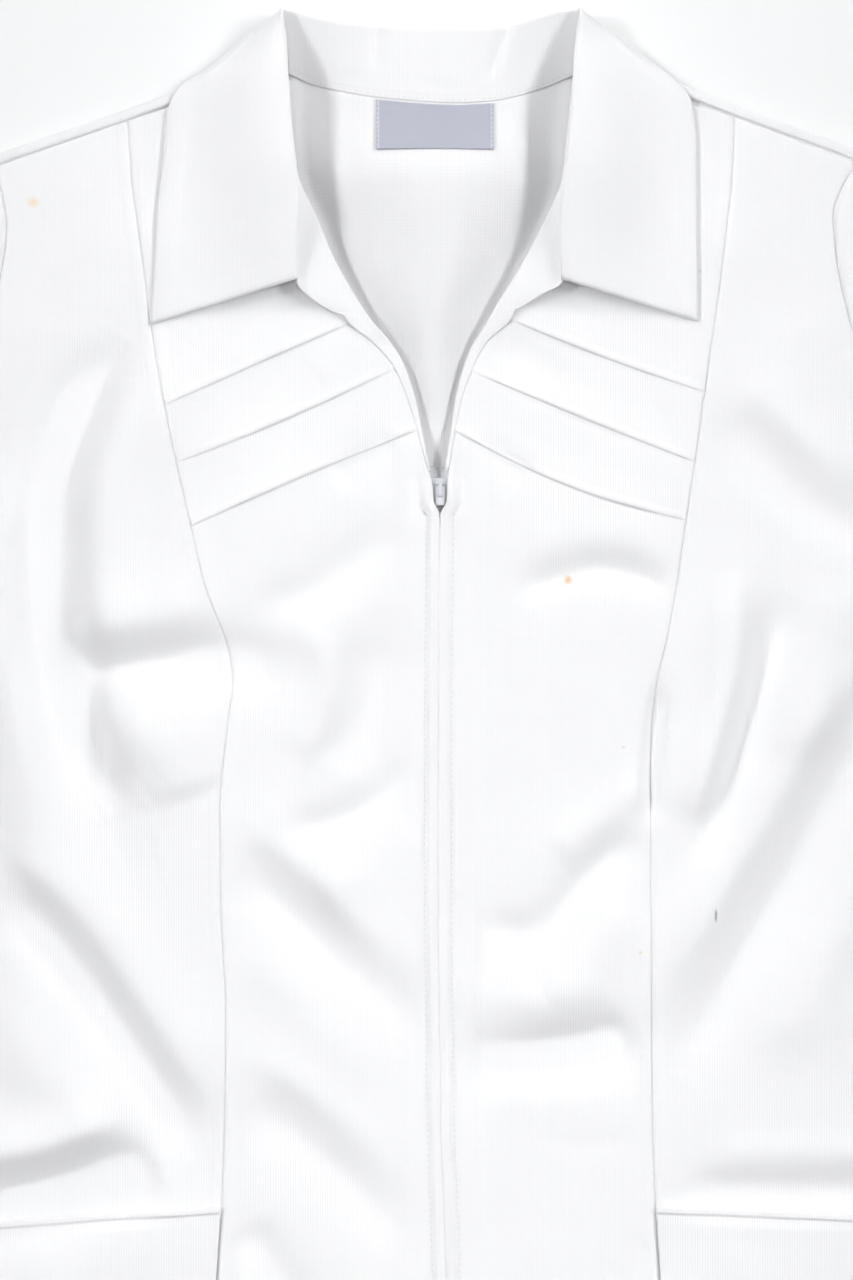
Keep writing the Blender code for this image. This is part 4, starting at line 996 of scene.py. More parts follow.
class Wardrobe:
    """All finishes of the garment, each made once."""

    def __init__(self) -> None:
        """Build the shared groups and the materials."""
        groups = {"knit": knit_group(), "mark": mark_group()}
        self.knit = KnitFinish(marks=tuple(MARKS)).make(groups)
        self.inner_knit = KnitFinish(name="knit_inside", wale_pitch=0.00082, loop_pitch=0.00164,
                                     relief=0.00008).make(groups)
        self.sleeve_knit = {side: KnitFinish(name=f"sleeve_knit_{side.label}", turn=0.66 * side).make(groups)
                            for side in Side}
        self.tape = GrainFinish("zip_tape_weave", (0.85, 0.86, 0.89, 1.0), (0.78, 0.79, 0.83, 1.0), 0.8,
                                sheen=0.1, grain_scale=1400.0).make()
        # The thread's grey is partly its own off-white tone and partly painted shade: darker than the knit
        # so the stitches show the shade of the dimples they sit in
        self.thread = GrainFinish("sewing_thread_painted_shade", (0.78, 0.79, 0.82, 1.0), (0.70, 0.71, 0.75, 1.0), 0.55,
                                  sheen=0.2, grain_scale=3000.0, relief=0.00002).make()
        self.dark_thread = GrainFinish("label_thread", (0.30, 0.31, 0.36, 1.0), (0.24, 0.25, 0.30, 1.0), 0.6,
                                       grain_scale=3000.0, relief=0.00002).make()
        self.enamel = GrainFinish("zip_enamel_coat", (0.68, 0.70, 0.75, 1.0), (0.62, 0.64, 0.70, 1.0), 0.34,
                                  grain_scale=500.0, relief=0.00001).make()
        self.satin = GrainFinish("label_satin_weave", (0.47, 0.485, 0.555, 1.0), (0.43, 0.445, 0.52, 1.0),
                                 0.5, sheen=0.2, grain_scale=1800.0, relief=0.00002).make()
        self.border = GrainFinish("label_border", (0.62, 0.63, 0.70, 1.0), (0.57, 0.58, 0.66, 1.0), 0.5,
                                  sheen=0.2, grain_scale=1800.0, relief=0.00002).make()
        self.coil = GrainFinish("zip_coil_nylon", (0.82, 0.83, 0.86, 1.0), (0.76, 0.77, 0.81, 1.0), 0.4,
                                grain_scale=700.0, relief=0.00001).make()


class PanelRow(NamedTuple):
    """One row of a front panel's grid."""
    inner_y: float
    outer_y: float
    bow: float
    top_shift: float = 0.0
    rise_share: float = 0.0
    low_shift: float = 0.0
    tuck: int = -1


def panel_rows(guides: Sequence[Guide], cell: float) -> list[PanelRow]:
    """Rows of a front panel from the shoulder down.

    Args:
        guides: The panel's table of rows.
        cell: Spacing of the rows, in millimetres.

    Returns:
        The rows, with the profile of each tuck among them.
    """
    rows = []
    tucks = 0
    for here, there in zip(guides, list(guides[1:]) + [None]):
        if here.tuck:
            for top_shift, share, low_shift in TUCK_PROFILE:
                rows.append(PanelRow(*here[:3], top_shift, share, low_shift, tucks))
            tucks += 1
        else:
            rows.append(PanelRow(*here[:3]))
        if there is None:
            break
        drop = max(here.inner_y - there.inner_y, here.outer_y - there.outer_y)
        start = TUCK_ROOM / drop if here.tuck else 0.0
        end = 1 - (TUCK_ROOM / drop if there.tuck else 0.0)
        count = max(2, round(drop / cell))
        steps = np.linspace(start, end, count + 1)
        steps = steps[(0 if here.tuck else 1):(None if there.tuck else -1)]
        if len(rows) == 1:  # close rows along the shoulder seam
            steps = np.concatenate([np.array([0.3, 0.7, 1.2, 1.7]) / drop, steps])
        for t in steps:
            rows.append(PanelRow(*[here[j] + (there[j] - here[j]) * t for j in range(3)]))
    return rows


@dataclass(frozen=True)
class FrontPanels:
    """The front of the top: centre fronts with tucks, side fronts and pockets."""
    finishes: Wardrobe
    cell: float = 2.3
    columns: int = 50
    tuck_rise: float = 1.8
    tuck_depth: float = 15.0
    seam_gap: float = 0.03
    lip_gap: float = 0.22
    mouth_rows: tuple = (0.0, 0.4, 1.0, 1.8, 2.5, 2.9, 3.2, 4.0)
    mouth_room: float = 4.6

    def grid(self, rows: list[PanelRow], inner: list[Station], outer: list[Station]) -> tuple[Grid, Grid]:
        """Points of a panel ruled between two edges.

        Args:
            rows: The panel's rows.
            inner: Its edge nearer the zip.
            outer: Its edge further from the zip.

        Returns:
            Grids of x and y.
        """
        inner_y = np.array([row.inner_y for row in rows])
        outer_y = np.array([row.outer_y for row in rows])
        bow = np.array([row.bow for row in rows])[:, None]
        inner_x = through(inner, inner_y)[:, None]
        outer_x = through(outer, outer_y)[:, None]
        u = spread(np.abs(outer_x - inner_x), NEAR_SEAM, self.columns)
        x = inner_x + (outer_x - inner_x) * u
        y = inner_y[:, None] + (outer_y - inner_y)[:, None] * u + bow * np.sin(np.pi * u)
        return x, y

    def tuck_lift(self, rows: list[PanelRow], u: Grid, y: Grid) -> Grid:
        """Extra height of the pressed tucks.

        Args:
            rows: The panel's rows.
            u: Share of the panel's width at each point.
            y: Y of each point.

        Returns:
            The lift, highest at each folded edge and gone above the tuck's depth.
        """
        ends = ease((u + 0.05) / 0.2) * (0.45 + 0.55 * ease((1.05 - u) / 0.3))
        ends = ends * (0.72 + 0.2 * np.sin(9.5 * u + 0.05 * y) + 0.12 * np.sin(23 * u + 0.11 * y))
        lift = np.zeros(y.shape)
        for k, row in enumerate(rows):
            if row.tuck < 0 or row.rise_share < 1.0 or rows[k - 1].tuck == row.tuck:
                continue
            away = np.clip((y[:k] - y[k]) / self.tuck_depth, 0, 1)
            lift[:k] += self.tuck_rise * ends[:k] * (1 - away) ** 1.3
            for j in range(k, k + len(TUCK_PROFILE)):
                lift[j] += self.tuck_rise * ends[j] * rows[j].rise_share
        return lift

    def side_relief(self, y: Grid, inner_gap: Grid, outer_gap: Grid) -> Grid:
        """Relief of the seams of a side front.

        Args:
            y: Y of each point.
            inner_gap: Distance from the princess seam.
            outer_gap: Distance from the side seam or the armhole.

        Returns:
            The change of height at each point.
        """
        relief = -edge_roll(inner_gap, 1.5, 0.7) - edge_roll(outer_gap, 1.5, 0.7)
        return relief - edge_roll(y[:1] - y, 1.5, 0.5) + 0.45 * swell(inner_gap, 3.0, 2.4)

    def centre_relief(self, side: Side, y: Grid, inner_gap: Grid, outer_gap: Grid) -> Grid:
        """Relief of the seams, the topstitching and the facing's edge of a centre front.

        Args:
            side: The panel's side.
            y: Y of each point.
            inner_gap: Distance from the lip over the zip.
            outer_gap: Distance from the princess seam.

        Returns:
            The change of height at each point.
        """
        relief = -edge_roll(inner_gap, 0.8, 0.35) - edge_roll(outer_gap, 1.5, 0.7)
        relief = relief - edge_roll(y[:1] - y, 1.5, 0.5)
        low = ease((150 - y) / 8)
        relief = relief - 1.0 * low * swell(inner_gap, ZIP_STITCH, 1.1)
        relief = relief + 0.6 * low * swell(inner_gap, 3.0, 1.9)
        relief = relief + 0.4 * swell(outer_gap, 2.8, 2.4)
        if side is Side.RIGHT:
            line = 17.6 + 1.6 * ease((y + 60) / 130)
            held = ease((74 - y) / 14) * ease((y + 210) / 20)
            relief = relief + 0.65 * held * swell(inner_gap, line, 1.0)
        return relief

    def centre_front(self, side: Side) -> None:
        """One centre front with its neck edge, three tucks and the lip over the zip."""
        rows = panel_rows(CENTRE_ROWS[side], self.cell)
        outer = moved(PRINCESS_SEAM[side], -side * self.seam_gap)
        lip = [Station(row.y, row.x - side * self.lip_gap * float(ease((145 - row.y) / 4)))
               for row in FRONT_EDGE[side]]
        x, y = self.grid(rows, lip, outer)
        width = np.abs(x[:, -1:] - x[:, :1])
        u = np.abs(x - x[:, :1]) / width
        low = FORM.front_bottom(x, y)
        lift = self.tuck_lift(rows, u, y)
        relief = self.centre_relief(side, y, u * width, (1 - u) * width)
        top_y = y + np.array([row.top_shift for row in rows])[:, None]
        low_y = y + np.array([row.low_shift for row in rows])[:, None]
        lay_cloth(f"centre_front_{side.label}", stack(x, top_y, low + FORM.cloth + lift + relief),
                  stack(x, low_y, low), self.finishes.knit)

    def side_front(self, side: Side) -> None:
        """One side front and the patch pocket that lies on its lower part."""
        rows = panel_rows(SIDE_ROWS[side], self.cell)
        x, y = self.grid(rows, moved(PRINCESS_SEAM[side], side * self.seam_gap), SIDE_EDGE[side])
        low = FORM.front_bottom(x, y)
        top = low + FORM.cloth + self.side_relief(y, np.abs(x - x[:, :1]), np.abs(x[:, -1:] - x))
        lay_cloth(f"side_front_{side.label}", stack(x, y, top), stack(x, y, low), self.finishes.knit)
        first = next(k for k, row in enumerate(rows) if row.inner_y <= POCKET_Y + 0.5)
        self.pocket(side, x[first:], y[first:], low[first:] + FORM.cloth + FORM.gap + POCKET_LIFT)

    def pocket(self, side: Side, x: Grid, y: Grid, floor: Grid) -> None:
        """A patch pocket with a stitched double hem at its mouth.

        Args:
            side: The pocket's side.
            x: X of the panel's points below the mouth.
            y: Y of those points.
            floor: Height that the pocket lies on.
        """
        mouth = np.array(self.mouth_rows)[:, None]
        keep = y[:, 0] < y[0, 0] - self.mouth_room
        hem_x, hem_y = np.repeat(x[:1], len(mouth), axis=0), y[:1] - mouth
        px, py = np.concatenate([hem_x, x[keep]]), np.concatenate([hem_y, y[keep]])
        ground = np.concatenate([np.repeat(floor[:1], len(mouth), axis=0), floor[keep]])
        down = y[:1] - py
        inner, outer = np.abs(px - px[:, :1]), np.abs(px[:, -1:] - px)
        bulge = np.maximum(fold_height(POCKET_FOLDS, px, py), 0)
        bulge = bulge + 0.8 * ease(down / 20) * fold_height(POCKET_CREASES, px, py)
        bulge = bulge * ease(inner / 25) * ease(outer / 25)
        hem = 0.9 * (1 - ease((down - 2.6) / 0.7)) - edge_roll(down, 0.8, 0.5)
        sides = -edge_roll(inner, 0.9, 0.5) - edge_roll(outer, 0.9, 0.5)
        low = ground + np.maximum(bulge, -0.25)
        lay_cloth(f"pocket_{side.label}", stack(px, py, low + FORM.cloth + hem + sides),
                  stack(px, py, low), self.finishes.knit)

    def build(self) -> None:
        """Make both halves of the front."""
        for side in Side:
            self.centre_front(side)
            self.side_front(side)


@dataclass(frozen=True)
class BackPanel:
    """The back in one piece, seen in the V and rolled over the shoulders."""
    finishes: Wardrobe
    shoulders: tuple = (-213.0, 203.5)
    neck: tuple = (-73.5, 69.5)
    collar_ends: tuple = (-79.0, 75.5)
    roll_rows: tuple = (305.6, 306.8, 307.05, 307.5, 308.4, 309.6, 310.6, 311.4, 311.8, 312.0)
    roll_places: tuple = (306.8, 307.05, 307.5, 308.4, 310.2, 311.4, 312.0)
    roll_shares: tuple = (0.0, 0.74, 0.9, 1.0, 0.98, 0.85, 0.4)

    def top_y(self, x: Grid) -> Grid:
        """Upper outline: shoulders at both sides of the neck seam."""
        inside = (x > -75.0) & (x < 70.5)
        outline = np.where(inside, across(NECK_SEAM, x), FORM.shoulder_y(x))
        return np.where((x < -212) | (x > 203), SHOULDER_TIP_Y, outline)

    def columns(self) -> Grid:
        """Places of the columns at the shoulder, fine inside the V."""
        left = np.linspace(self.shoulders[0], self.collar_ends[0], 30)
        right = np.linspace(self.collar_ends[1], self.shoulders[1], 29)
        return np.concatenate([left, np.linspace(*self.neck, 66), right])

    def levels(self) -> Grid:
        """Heights of the rows, fine inside the V and at the shoulder roll."""
        lower = np.linspace(HEM_Y, 130, 64)
        upper = np.linspace(133, 304, 82)
        return np.concatenate([lower, upper, self.roll_rows])

    def build(self) -> None:
        """Make the back."""
        top_x = self.columns()[None, :]
        levels = self.levels()[:, None]
        left = through(SIDE_EDGE[Side.LEFT], levels)
        right = through(SIDE_EDGE[Side.RIGHT], levels)
        u = (top_x - top_x[:, :1]) / (top_x[:, -1:] - top_x[:, :1])
        x = left + (right - left) * u
        x[:, 1:-1] += ((top_x - x) * ease((levels - 240) / 66))[:, 1:-1]
        lean = ease((levels - 60) / 246) ** 2
        hem = HEM_CURVE * (x / HALF_HEM) ** 2 * (1 - ease((levels - HEM_Y) / 200))
        y = levels + lean * (self.top_y(top_x) - SHOULDER_TIP_Y) + hem
        low = FORM.back_bottom(x, y)
        inside = ease((x - through(V_EDGE[Side.LEFT], y) + 12) / 12)
        inside = inside * ease((through(V_EDGE[Side.RIGHT], y) + 12 - x) / 12)
        folds = fold_height(BACK_FOLDS, x, y) * inside * ease((y - V_FOOT_Y) / 20)
        room = np.maximum(low + folds, 0.0)
        over_shoulder = (top_x < -78) | (top_x > 74)
        wide = ease((150 - np.abs(x - NECK_X)) / 20)
        rolled = FORM.front_base + (FORM.front_lift - FORM.back_lift) * wide
        part = np.interp(levels, self.roll_places, self.roll_shares)
        high = room + FORM.cloth + np.where(over_shoulder, rolled * part, 0)
        seam = np.where(over_shoulder, 0.0, 0.25 * (1 - np.clip((SHOULDER_TIP_Y - levels) / 0.9, 0, 1)))
        lay_cloth("back", stack(x, y, high - seam), stack(x, y, room), self.finishes.inner_knit)


@dataclass(frozen=True)
class Sleeves:
    """Short sleeves, each a flattened tube open at the armhole and the cuff."""
    finishes: Wardrobe
    rows: int = 52
    cuff_top: tuple = (368.0, 184.0)
    cuff_under: tuple = (274.0, 58.0)
    puff: float = 2.6
    armhole_gap: float = 0.05
    inset: float = 0.6

    def loops(self) -> list:
        """The tube's cross section.

        Returns:
            Two loops, outer and inner, of share across, shift, height and freedom to puff.
        """
        inner = FORM.gap / 2
        outer = inner + FORM.cloth
        shares = np.linspace(0, 1, 46)[1:-1]
        shares = shares[(shares > 0.03) & (shares < 0.965)]
        nose = [(1 - np.cos(a), np.sin(a)) for a in np.radians([0, 22.5, 45, 67.5, 90])]
        loops = []
        for ring in (outer, inner):
            start = [(outer - ring + ring * along, outer + ring * up) for along, up in nose]
            loop = [(0.0, along, up, 0.0) for along, up in start]
            loop += [(t, 0.0, outer + ring, 1.0) for t in shares]
            loop += [(1.0, -along, up, 0.0) for along, up in reversed(start)]
            loop += [(1.0, -along, 2 * outer - up, 0.0) for along, up in start[1:]]
            loop += [(t, 0.0, outer - ring, 0.0) for t in reversed(shares)]
            loop += [(0.0, along, 2 * outer - up, 0.0) for along, up in reversed(start[1:])]
            loops.append(loop)
        return loops

    def points(self, side: Side, edge: list[Station], loops: list) -> Grid:
        """The tube's points, loop by loop from the armhole to the cuff.

        Args:
            side: The sleeve's side.
            edge: The armhole.
            loops: The cross section's two loops.

        Returns:
            Rows of x, y and z, in millimetres.
        """
        cuff = np.subtract(self.cuff_under, self.cuff_top) * (side, 1)
        length = float(np.hypot(*cuff))
        points = []
        for s in np.linspace(0, 1, self.rows + 1):
            for ring, loop in enumerate(loops):
                t, shift, z, free = np.array(loop).T
                seam_y = SHOULDER_TIP_Y - self.inset - shift
                seam_y = seam_y + (UNDERARM_Y - SHOULDER_TIP_Y + 2 * self.inset) * t
                seam_x = through(edge, seam_y)
                end_x = side * self.cuff_top[0] + cuff[0] * t + shift * cuff[0] / length
                end_y = self.cuff_top[1] + cuff[1] * t + shift * cuff[1] / length
                x = seam_x + (end_x - seam_x) * s
                y = seam_y + (end_y - seam_y) * s
                puff = free * self.puff * np.sin(np.pi * t) * np.sin(np.pi * (0.1 + 0.85 * s))
                body = free * ease(np.minimum(t, 1 - t) * 9) * ease(s * 8) * ease((1 - s) * 9)
                creases = body * fold_height(SLEEVE_CREASES[side], x, y)
                seam = -0.5 * free * (1 - np.clip(s * 40, 0, 1)) * (1 - ring)
                points.append(np.stack([x, y, z + np.maximum(puff + creases, 0) + seam], axis=-1))
        return np.concatenate(points)

    def faces(self, count: int) -> list:
        """The tube's faces: both skins and the two rims.

        Args:
            count: Number of points in a loop.

        Returns:
            The faces, as point numbers.
        """
        step = np.arange(count)
        after = (step + 1) % count

        def at(row: int, ring: int, k: Grid) -> Grid:
            """Numbers of one loop's points."""
            return (row * 2 + ring) * count + k

        faces = []
        for row in range(self.rows):
            for ring in (0, 1):
                faces.append(np.stack([at(row, ring, step), at(row, ring, after),
                                       at(row + 1, ring, after), at(row + 1, ring, step)], axis=-1))
        for row in (0, self.rows):
            faces.append(np.stack([at(row, 0, step), at(row, 0, after), at(row, 1, after),
                                   at(row, 1, step)], axis=-1))
        return np.concatenate(faces).tolist()

    def build(self) -> None:
        """Make both sleeves."""
        loops = self.loops()
        for side in Side:
            edge = moved(SIDE_EDGE[side], side * self.armhole_gap)
            piece = make_piece(f"sleeve_{side.label}_cloth", self.points(side, edge, loops),
                               self.faces(len(loops[0])), self.finishes.sleeve_knit[side])
            seam_y = np.linspace(SHOULDER_TIP_Y, UNDERARM_Y, 20)
            outline = np.concatenate([np.stack([through(edge, seam_y), seam_y], axis=-1),
                                      [[side * self.cuff_under[0], self.cuff_under[1]],
                                       [side * self.cuff_top[0], self.cuff_top[1]]]])
            lay_sheet(piece, f"sleeve_{side.label}", outline, layers=2)


def smooth_rows(rows: Sequence, count: int) -> Grid:
    """A table's columns read at evenly spaced places between its first and last row."""
    values = np.array(rows, dtype=float)
    knots = np.arange(len(rows), dtype=float)
    at = np.linspace(0, len(rows) - 1, count)
    return np.stack([bend(knots, column, at) for column in values.T], axis=1)




@dataclass(frozen=True)
class Collar:
    """The wing collar: two leaves, the band behind the neck and its fall below the back."""
    finishes: Wardrobe
    thick: float = 1.7
    fall_thick: float = 1.4
    allowance: float = 8.8
    band_foot: tuple = (-70.8, 65.4)
    band_crown: tuple = (-73.6, 68.0)
    fall_ends: tuple = (-117.0, 111.0)
    leaf_near: tuple = (0.0, 0.3, 0.7, 1.2, 1.8)
    leaf_rows: int = 78
    leaf_columns: int = 34
    leaf_least_width: float = 4.2
    band_columns: int = 110
    fall_columns: int = 96
    band_shares: tuple = (0, 0.012, 0.03, 0.06, *np.linspace(0.1, 0.93, 20), 0.96, 0.98, 0.992, 1)
    fall_shares: tuple = (0, 0.01, 0.025, *np.linspace(0.05, 0.95, 24), 0.975, 0.99, 1)

    def leaf_low(self, x: Grid, y: Grid, u: Grid, rise: Grid, drop: Grid) -> Grid:
        """Underside of a leaf: standing at its roll line and low at its outer edge."""
        held_y = np.minimum(y, FORM.shoulder_y(x) - 10)
        stand = rise * (1 - ease(u * 0.95)) ** 1.1
        taller = 0.3 * ease((y - 284) / 30) * (1 - ease((y - 350) / 22))
        low = FORM.front_top(x, held_y) + 0.6 + stand * (1.4 + taller - 0.45 * ease((292 - y) / 50))
        low = low - drop * ease((u - 0.78) / 0.22) - 0.9 * ease((0.08 - u) / 0.08)
        return np.maximum(low, self.fall_thick + 0.5)

    def leaf(self, side: Side) -> None:
        """One leaf, with rolled edges and the soft ridge of its seam allowance."""
        rows = smooth_rows(LEAF_ROWS[side], self.leaf_rows)
        roll_x, roll_y, edge_x, edge_y, rise, drop = [rows[:, k:k + 1] for k in range(6)]
        width = np.hypot(edge_x - roll_x, edge_y - roll_y)
        u = spread(np.maximum(width, self.leaf_least_width), self.leaf_near, self.leaf_columns)
        x = roll_x + (edge_x - roll_x) * u
        y = roll_y + (edge_y - roll_y) * u
        low = self.leaf_low(x, y, u, rise, drop)
        from_roll, from_edge = u * width, (1 - u) * width
        from_tip = np.hypot(x - x[-1:], y - y[-1:])
        from_top = np.hypot(x - x[:1], y - y[:1])
        ridge = 0.32 * swell(from_edge, self.allowance, 1.1) * ease((from_tip - 4) / 10)
        ridge = ridge + 0.26 * swell(from_tip, self.allowance, 1.2) * ease(from_edge / 10)
        plump = 0.25 * ease(from_edge / 6) * ease(from_tip / 6) * (1 - ease((from_edge - 8) / 6))
        waves = fold_height(LEAF_WAVES[side], x, y) * ease(from_edge / 14)
        roll = edge_roll(from_edge, 1.5, 0.75) + edge_roll(from_tip, 1.4, 0.7)
        roll = roll + edge_roll(from_roll, 2.4, 0.9) + edge_roll(from_top, 1.2, 0.5)
        thick = self.thick - 0.35 * ease((u - 0.9) / 0.1)
        low = low + np.maximum(waves, -0.2)
        top = low + thick + ridge + plump - np.minimum(roll, 1.0)
        lay_cloth(f"collar_leaf_{side.label}", stack(x, y, top), stack(x, y, low),
                  self.finishes.knit)

    def band_low(self, seam_x: Grid, seam_y: Grid, s: Grid, t: Grid) -> Grid:
        """Underside of the band: on the back's own height at the neck seam, standing above it.

        Args:
            seam_x: X of the neck seam below each point.
            seam_y: Y of the neck seam below each point.
            s: Share of the way from the left end to the right one.
            t: Share of the way up from the seam.

        Returns:
            The height at each point.
        """
        ends = np.abs(2 * s - 1)
        foot = FORM.back_bottom(seam_x, seam_y - 0.5) + 1.6 * ends ** 6
        crown = FORM.back_lift + 9.6 + 4.0 * ends ** 5
        return foot + (crown - foot) * t ** 1.15

    def band(self) -> None:
        """The standing band behind the neck, seen from its inner face, with its two creases."""
        s = np.linspace(0, 1, self.band_columns)[None, :]
        t = np.array(self.band_shares)[:, None]
        low_x = between(self.band_foot, s)
        high_x = between(self.band_crown, s)
        low_y = across(NECK_SEAM, low_x) + 0.02
        high_y = across(BAND_TOP, high_x) - 0.5
        height = high_y - low_y
        x = low_x + (high_x - low_x) * t
        y = low_y + height * t
        low = self.band_low(low_x, low_y, s, t)
        low = low + (fold_height(BAND_CREASES, x, y) + fold_height(BAND_FINE, x, y)) * ease(t * 2)
        low = np.maximum(low, FORM.back_lift + 0.5 + 6.0 * t)
        stitched = 0.3 * swell(t * height, 2.0, 0.7)
        roll = edge_roll(t * height, 1.0, 0.6) + edge_roll((1 - t) * height, 1.6, 0.9)
        lay_cloth("collar_band", stack(x, y, low + self.thick - roll - stitched), stack(x, y, low),
                  self.finishes.knit)

    def fall(self) -> None:
        """The fall behind the neck, turned down under the back."""
        x = np.linspace(*self.fall_ends, self.fall_columns)[None, :]
        t = np.array(self.fall_shares)[:, None]
        upper = np.where(x > 68, across(FALL_RIGHT_END, x), across(BAND_TOP, x) - 1.2)
        upper = np.where(x < -73, across(FALL_LEFT_END, x), upper)
        lower = across(FALL_EDGE, x)
        height = upper - lower
        low = 7.6 * ease((76 - np.abs(x - NECK_X)) / 10) * ease((t - 0.62) / 0.38) ** 1.4
        top = stack(x, lower + height * t, low + self.fall_thick - two_rolls(t, height, 1.0, 0.5, 0.5))
        lay_cloth("collar_fall", top, stack(x, lower + height * t, low), self.finishes.knit)

    def build(self) -> None:
        """Make the whole collar."""
        for side in Side:
            self.leaf(side)
        self.band()
        self.fall()


@dataclass(frozen=True)
class NeckFacings:
    """The facing turned out at the V, with its soft outer fold and the narrow roll below."""
    finishes: Wardrobe
    front_gap: float = 0.08
    count: int = 46
    shares: tuple = (0, 0.02, 0.05, 0.1, 0.16, *np.linspace(0.24, 0.9, 9), 0.95, 0.98, 1)

    def edges(self, side: Side) -> Grid:
        """A facing's rows, wide beside the V and a narrow strip below it.

        Args:
            side: The facing's side.

        Returns:
            Rows of inner y, outer x, outer y and outer rise.
        """
        last = FACING_ROWS[side][-1]
        edge = moved(FRONT_EDGE[side], -side * self.front_gap)
        strip_y = np.linspace(last.inner_y, FACING_FOOT_Y, self.count)[1:]
        below = last.inner_y - strip_y
        outer_y = strip_y + (last.outer_y - last.inner_y) * np.clip(1 - below / 8, 0, 1)
        rise = last.outer_rise * np.clip(1 - below / 6, 0, 1)
        narrow = np.stack([strip_y, through(edge, outer_y), outer_y, rise], axis=-1)
        return np.concatenate([smooth_rows(FACING_ROWS[side], self.count), narrow])

    def facing(self, side: Side) -> None:
        """One facing."""
        rows = self.edges(side)
        inner_y, outer_x, outer_y, rise = [rows[:, k:k + 1] for k in range(4)]
        inner_x = through(V_EDGE[side], inner_y)
        width = np.hypot(outer_x - inner_x, outer_y - inner_y)
        u = np.array(self.shares)[None, :]
        x = inner_x + (outer_x - inner_x) * u
        y = inner_y + (outer_y - inner_y) * u
        wide = ease((inner_y - 222) / 6)
        low = FORM.front_top(x, y) * wide + (FORM.front_bottom(x, y) + 0.3) * (1 - wide)
        low = low + 2.2 * ease((inner_y - 222) / 60) + 4.0 * ease((inner_y - 262) / 44)
        low = low + 0.5 * wide + rise * u ** 1.2
        roll = two_rolls(u, width, np.minimum(1.1, 0.4 * width), 0.7, 0.4)
        lay_cloth(f"neck_facing_{side.label}", stack(x, y, low + FORM.cloth - roll), stack(x, y, low),
                  self.finishes.knit)

    def build(self) -> None:
        """Make both facings."""
        for side in Side:
            self.facing(side)


class RowTree:
    """A Geometry Nodes tree that sets one small shape along a path at an even pitch."""

    def __init__(self, name: str, coil: bool) -> None:
        """Build the tree.

        Args:
            name: The tree's name.
            coil: True for the zip's coil links, False for stitches.
        """
        self.tree = bpy.data.node_groups.new(name, "GeometryNodeTree")
        face = self.tree.interface
        face.new_socket("Path", in_out="INPUT", socket_type="NodeSocketGeometry")
        self.sockets = {}
        for key, value in {"Pitch": 0.003, "Length": 0.0022, "Thickness": 0.00035}.items():
            socket = face.new_socket(key, in_out="INPUT", socket_type="NodeSocketFloat")
            socket.default_value = value
            self.sockets[key] = socket.identifier
        finish = face.new_socket("Finish", in_out="INPUT", socket_type="NodeSocketMaterial")
        self.sockets["Finish"] = finish.identifier
        face.new_socket("Row", in_out="OUTPUT", socket_type="NodeSocketGeometry")
        board = NodeBoard(self.tree)
        put = board.put
        start, end = put("NodeGroupInput"), put("NodeGroupOutput")
        given = start.outputs
        curve = put("GeometryNodeMeshToCurve", {0: given["Path"]})
        steps = put("GeometryNodeResampleCurve", {"Curve": curve.outputs[0], "Length": given["Pitch"]},
                    mode="LENGTH")
        size = put("ShaderNodeCombineXYZ", {"X": given["Length"], "Y": given["Thickness"],
                                            "Z": given["Thickness"]})
        shape = self.link_shape(put) if coil else self.thread_shape(put)
        fit = put("GeometryNodeTransform", {"Geometry": shape, "Scale": size.outputs[0]})
        way = put("GeometryNodeInputTangent")
        turn = put("FunctionNodeAlignRotationToVector", {"Vector": way.outputs[0]}, axis="X")
        lay = put("GeometryNodeInstanceOnPoints", {"Points": steps.outputs[0], "Instance": fit.outputs[0],
                                                   "Rotation": turn.outputs[0]})
        real = put("GeometryNodeRealizeInstances", {0: lay.outputs[0]})
        dress = put("GeometryNodeSetMaterial", {"Geometry": real.outputs[0], "Material": given["Finish"]})
        board.feed(end, {0: dress.outputs[0]})

    def thread_shape(self, put: Callable) -> bpy.types.NodeSocket:
        """A stitch: a small round-ended bead, one unit across."""
        return put("GeometryNodeMeshUVSphere", {"Segments": 6, "Rings": 4, "Radius": 0.5}).outputs[0]

    def link_shape(self, put: Callable) -> bpy.types.NodeSocket:
        """A coil link: a closed loop of nylon across the path."""
        ring = put("GeometryNodeCurvePrimitiveCircle", {"Resolution": 8, "Radius": 1.6})
        cut = put("GeometryNodeCurvePrimitiveCircle", {"Resolution": 5, "Radius": 0.4})
        tube = put("GeometryNodeCurveToMesh", {0: ring.outputs[0], 1: cut.outputs[0]})
        stand = put("GeometryNodeTransform", {"Geometry": tube.outputs[0], "Rotation": (0.0, 1.2, 0.0)})
        return stand.outputs[0]

    def run(self, name: str, paths: Sequence[Grid], pitch: float, length: float, thickness: float,
            finish: bpy.types.Material, slot: Slot) -> bpy.types.Object:
        """Set the shapes along paths and make them one plain mesh.

        Args:
            name: The piece's name.
            paths: The paths' points, in millimetres.
            pitch: Spacing along a path, in millimetres.
            length: Size along the path, in millimetres.
            thickness: Size across it, in millimetres.
            finish: The finish.
            slot: The record's material slot; not used.

        Returns:
            The piece, riding on the garment.
        """
        mesh = bpy.data.meshes.new(name)
        body = bmesh.new()
        for points in paths:
            corners = [body.verts.new(point) for point in (np.asarray(points, dtype=float) * MM).tolist()]
            for here, there in zip(corners, corners[1:]):
                body.edges.new((here, there))
        body.to_mesh(mesh)
        body.free()
        piece = link_new(name, mesh)
        modifier = piece.modifiers.new("row", "NODES")
        modifier.node_group = self.tree
        for key, value in {"Pitch": pitch * MM, "Length": length * MM, "Thickness": thickness * MM,
                           "Finish": finish}.items():
            modifier[self.sockets[key]] = value
        shown = piece.evaluated_get(bpy.context.evaluated_depsgraph_get())
        made = bpy.data.meshes.new_from_object(shown)
        piece.modifiers.remove(modifier)
        piece.data = made
        made.shade_smooth()
        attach(piece, "garment")
        LOG.info("%s: %d faces", name, len(made.polygons))
        return piece


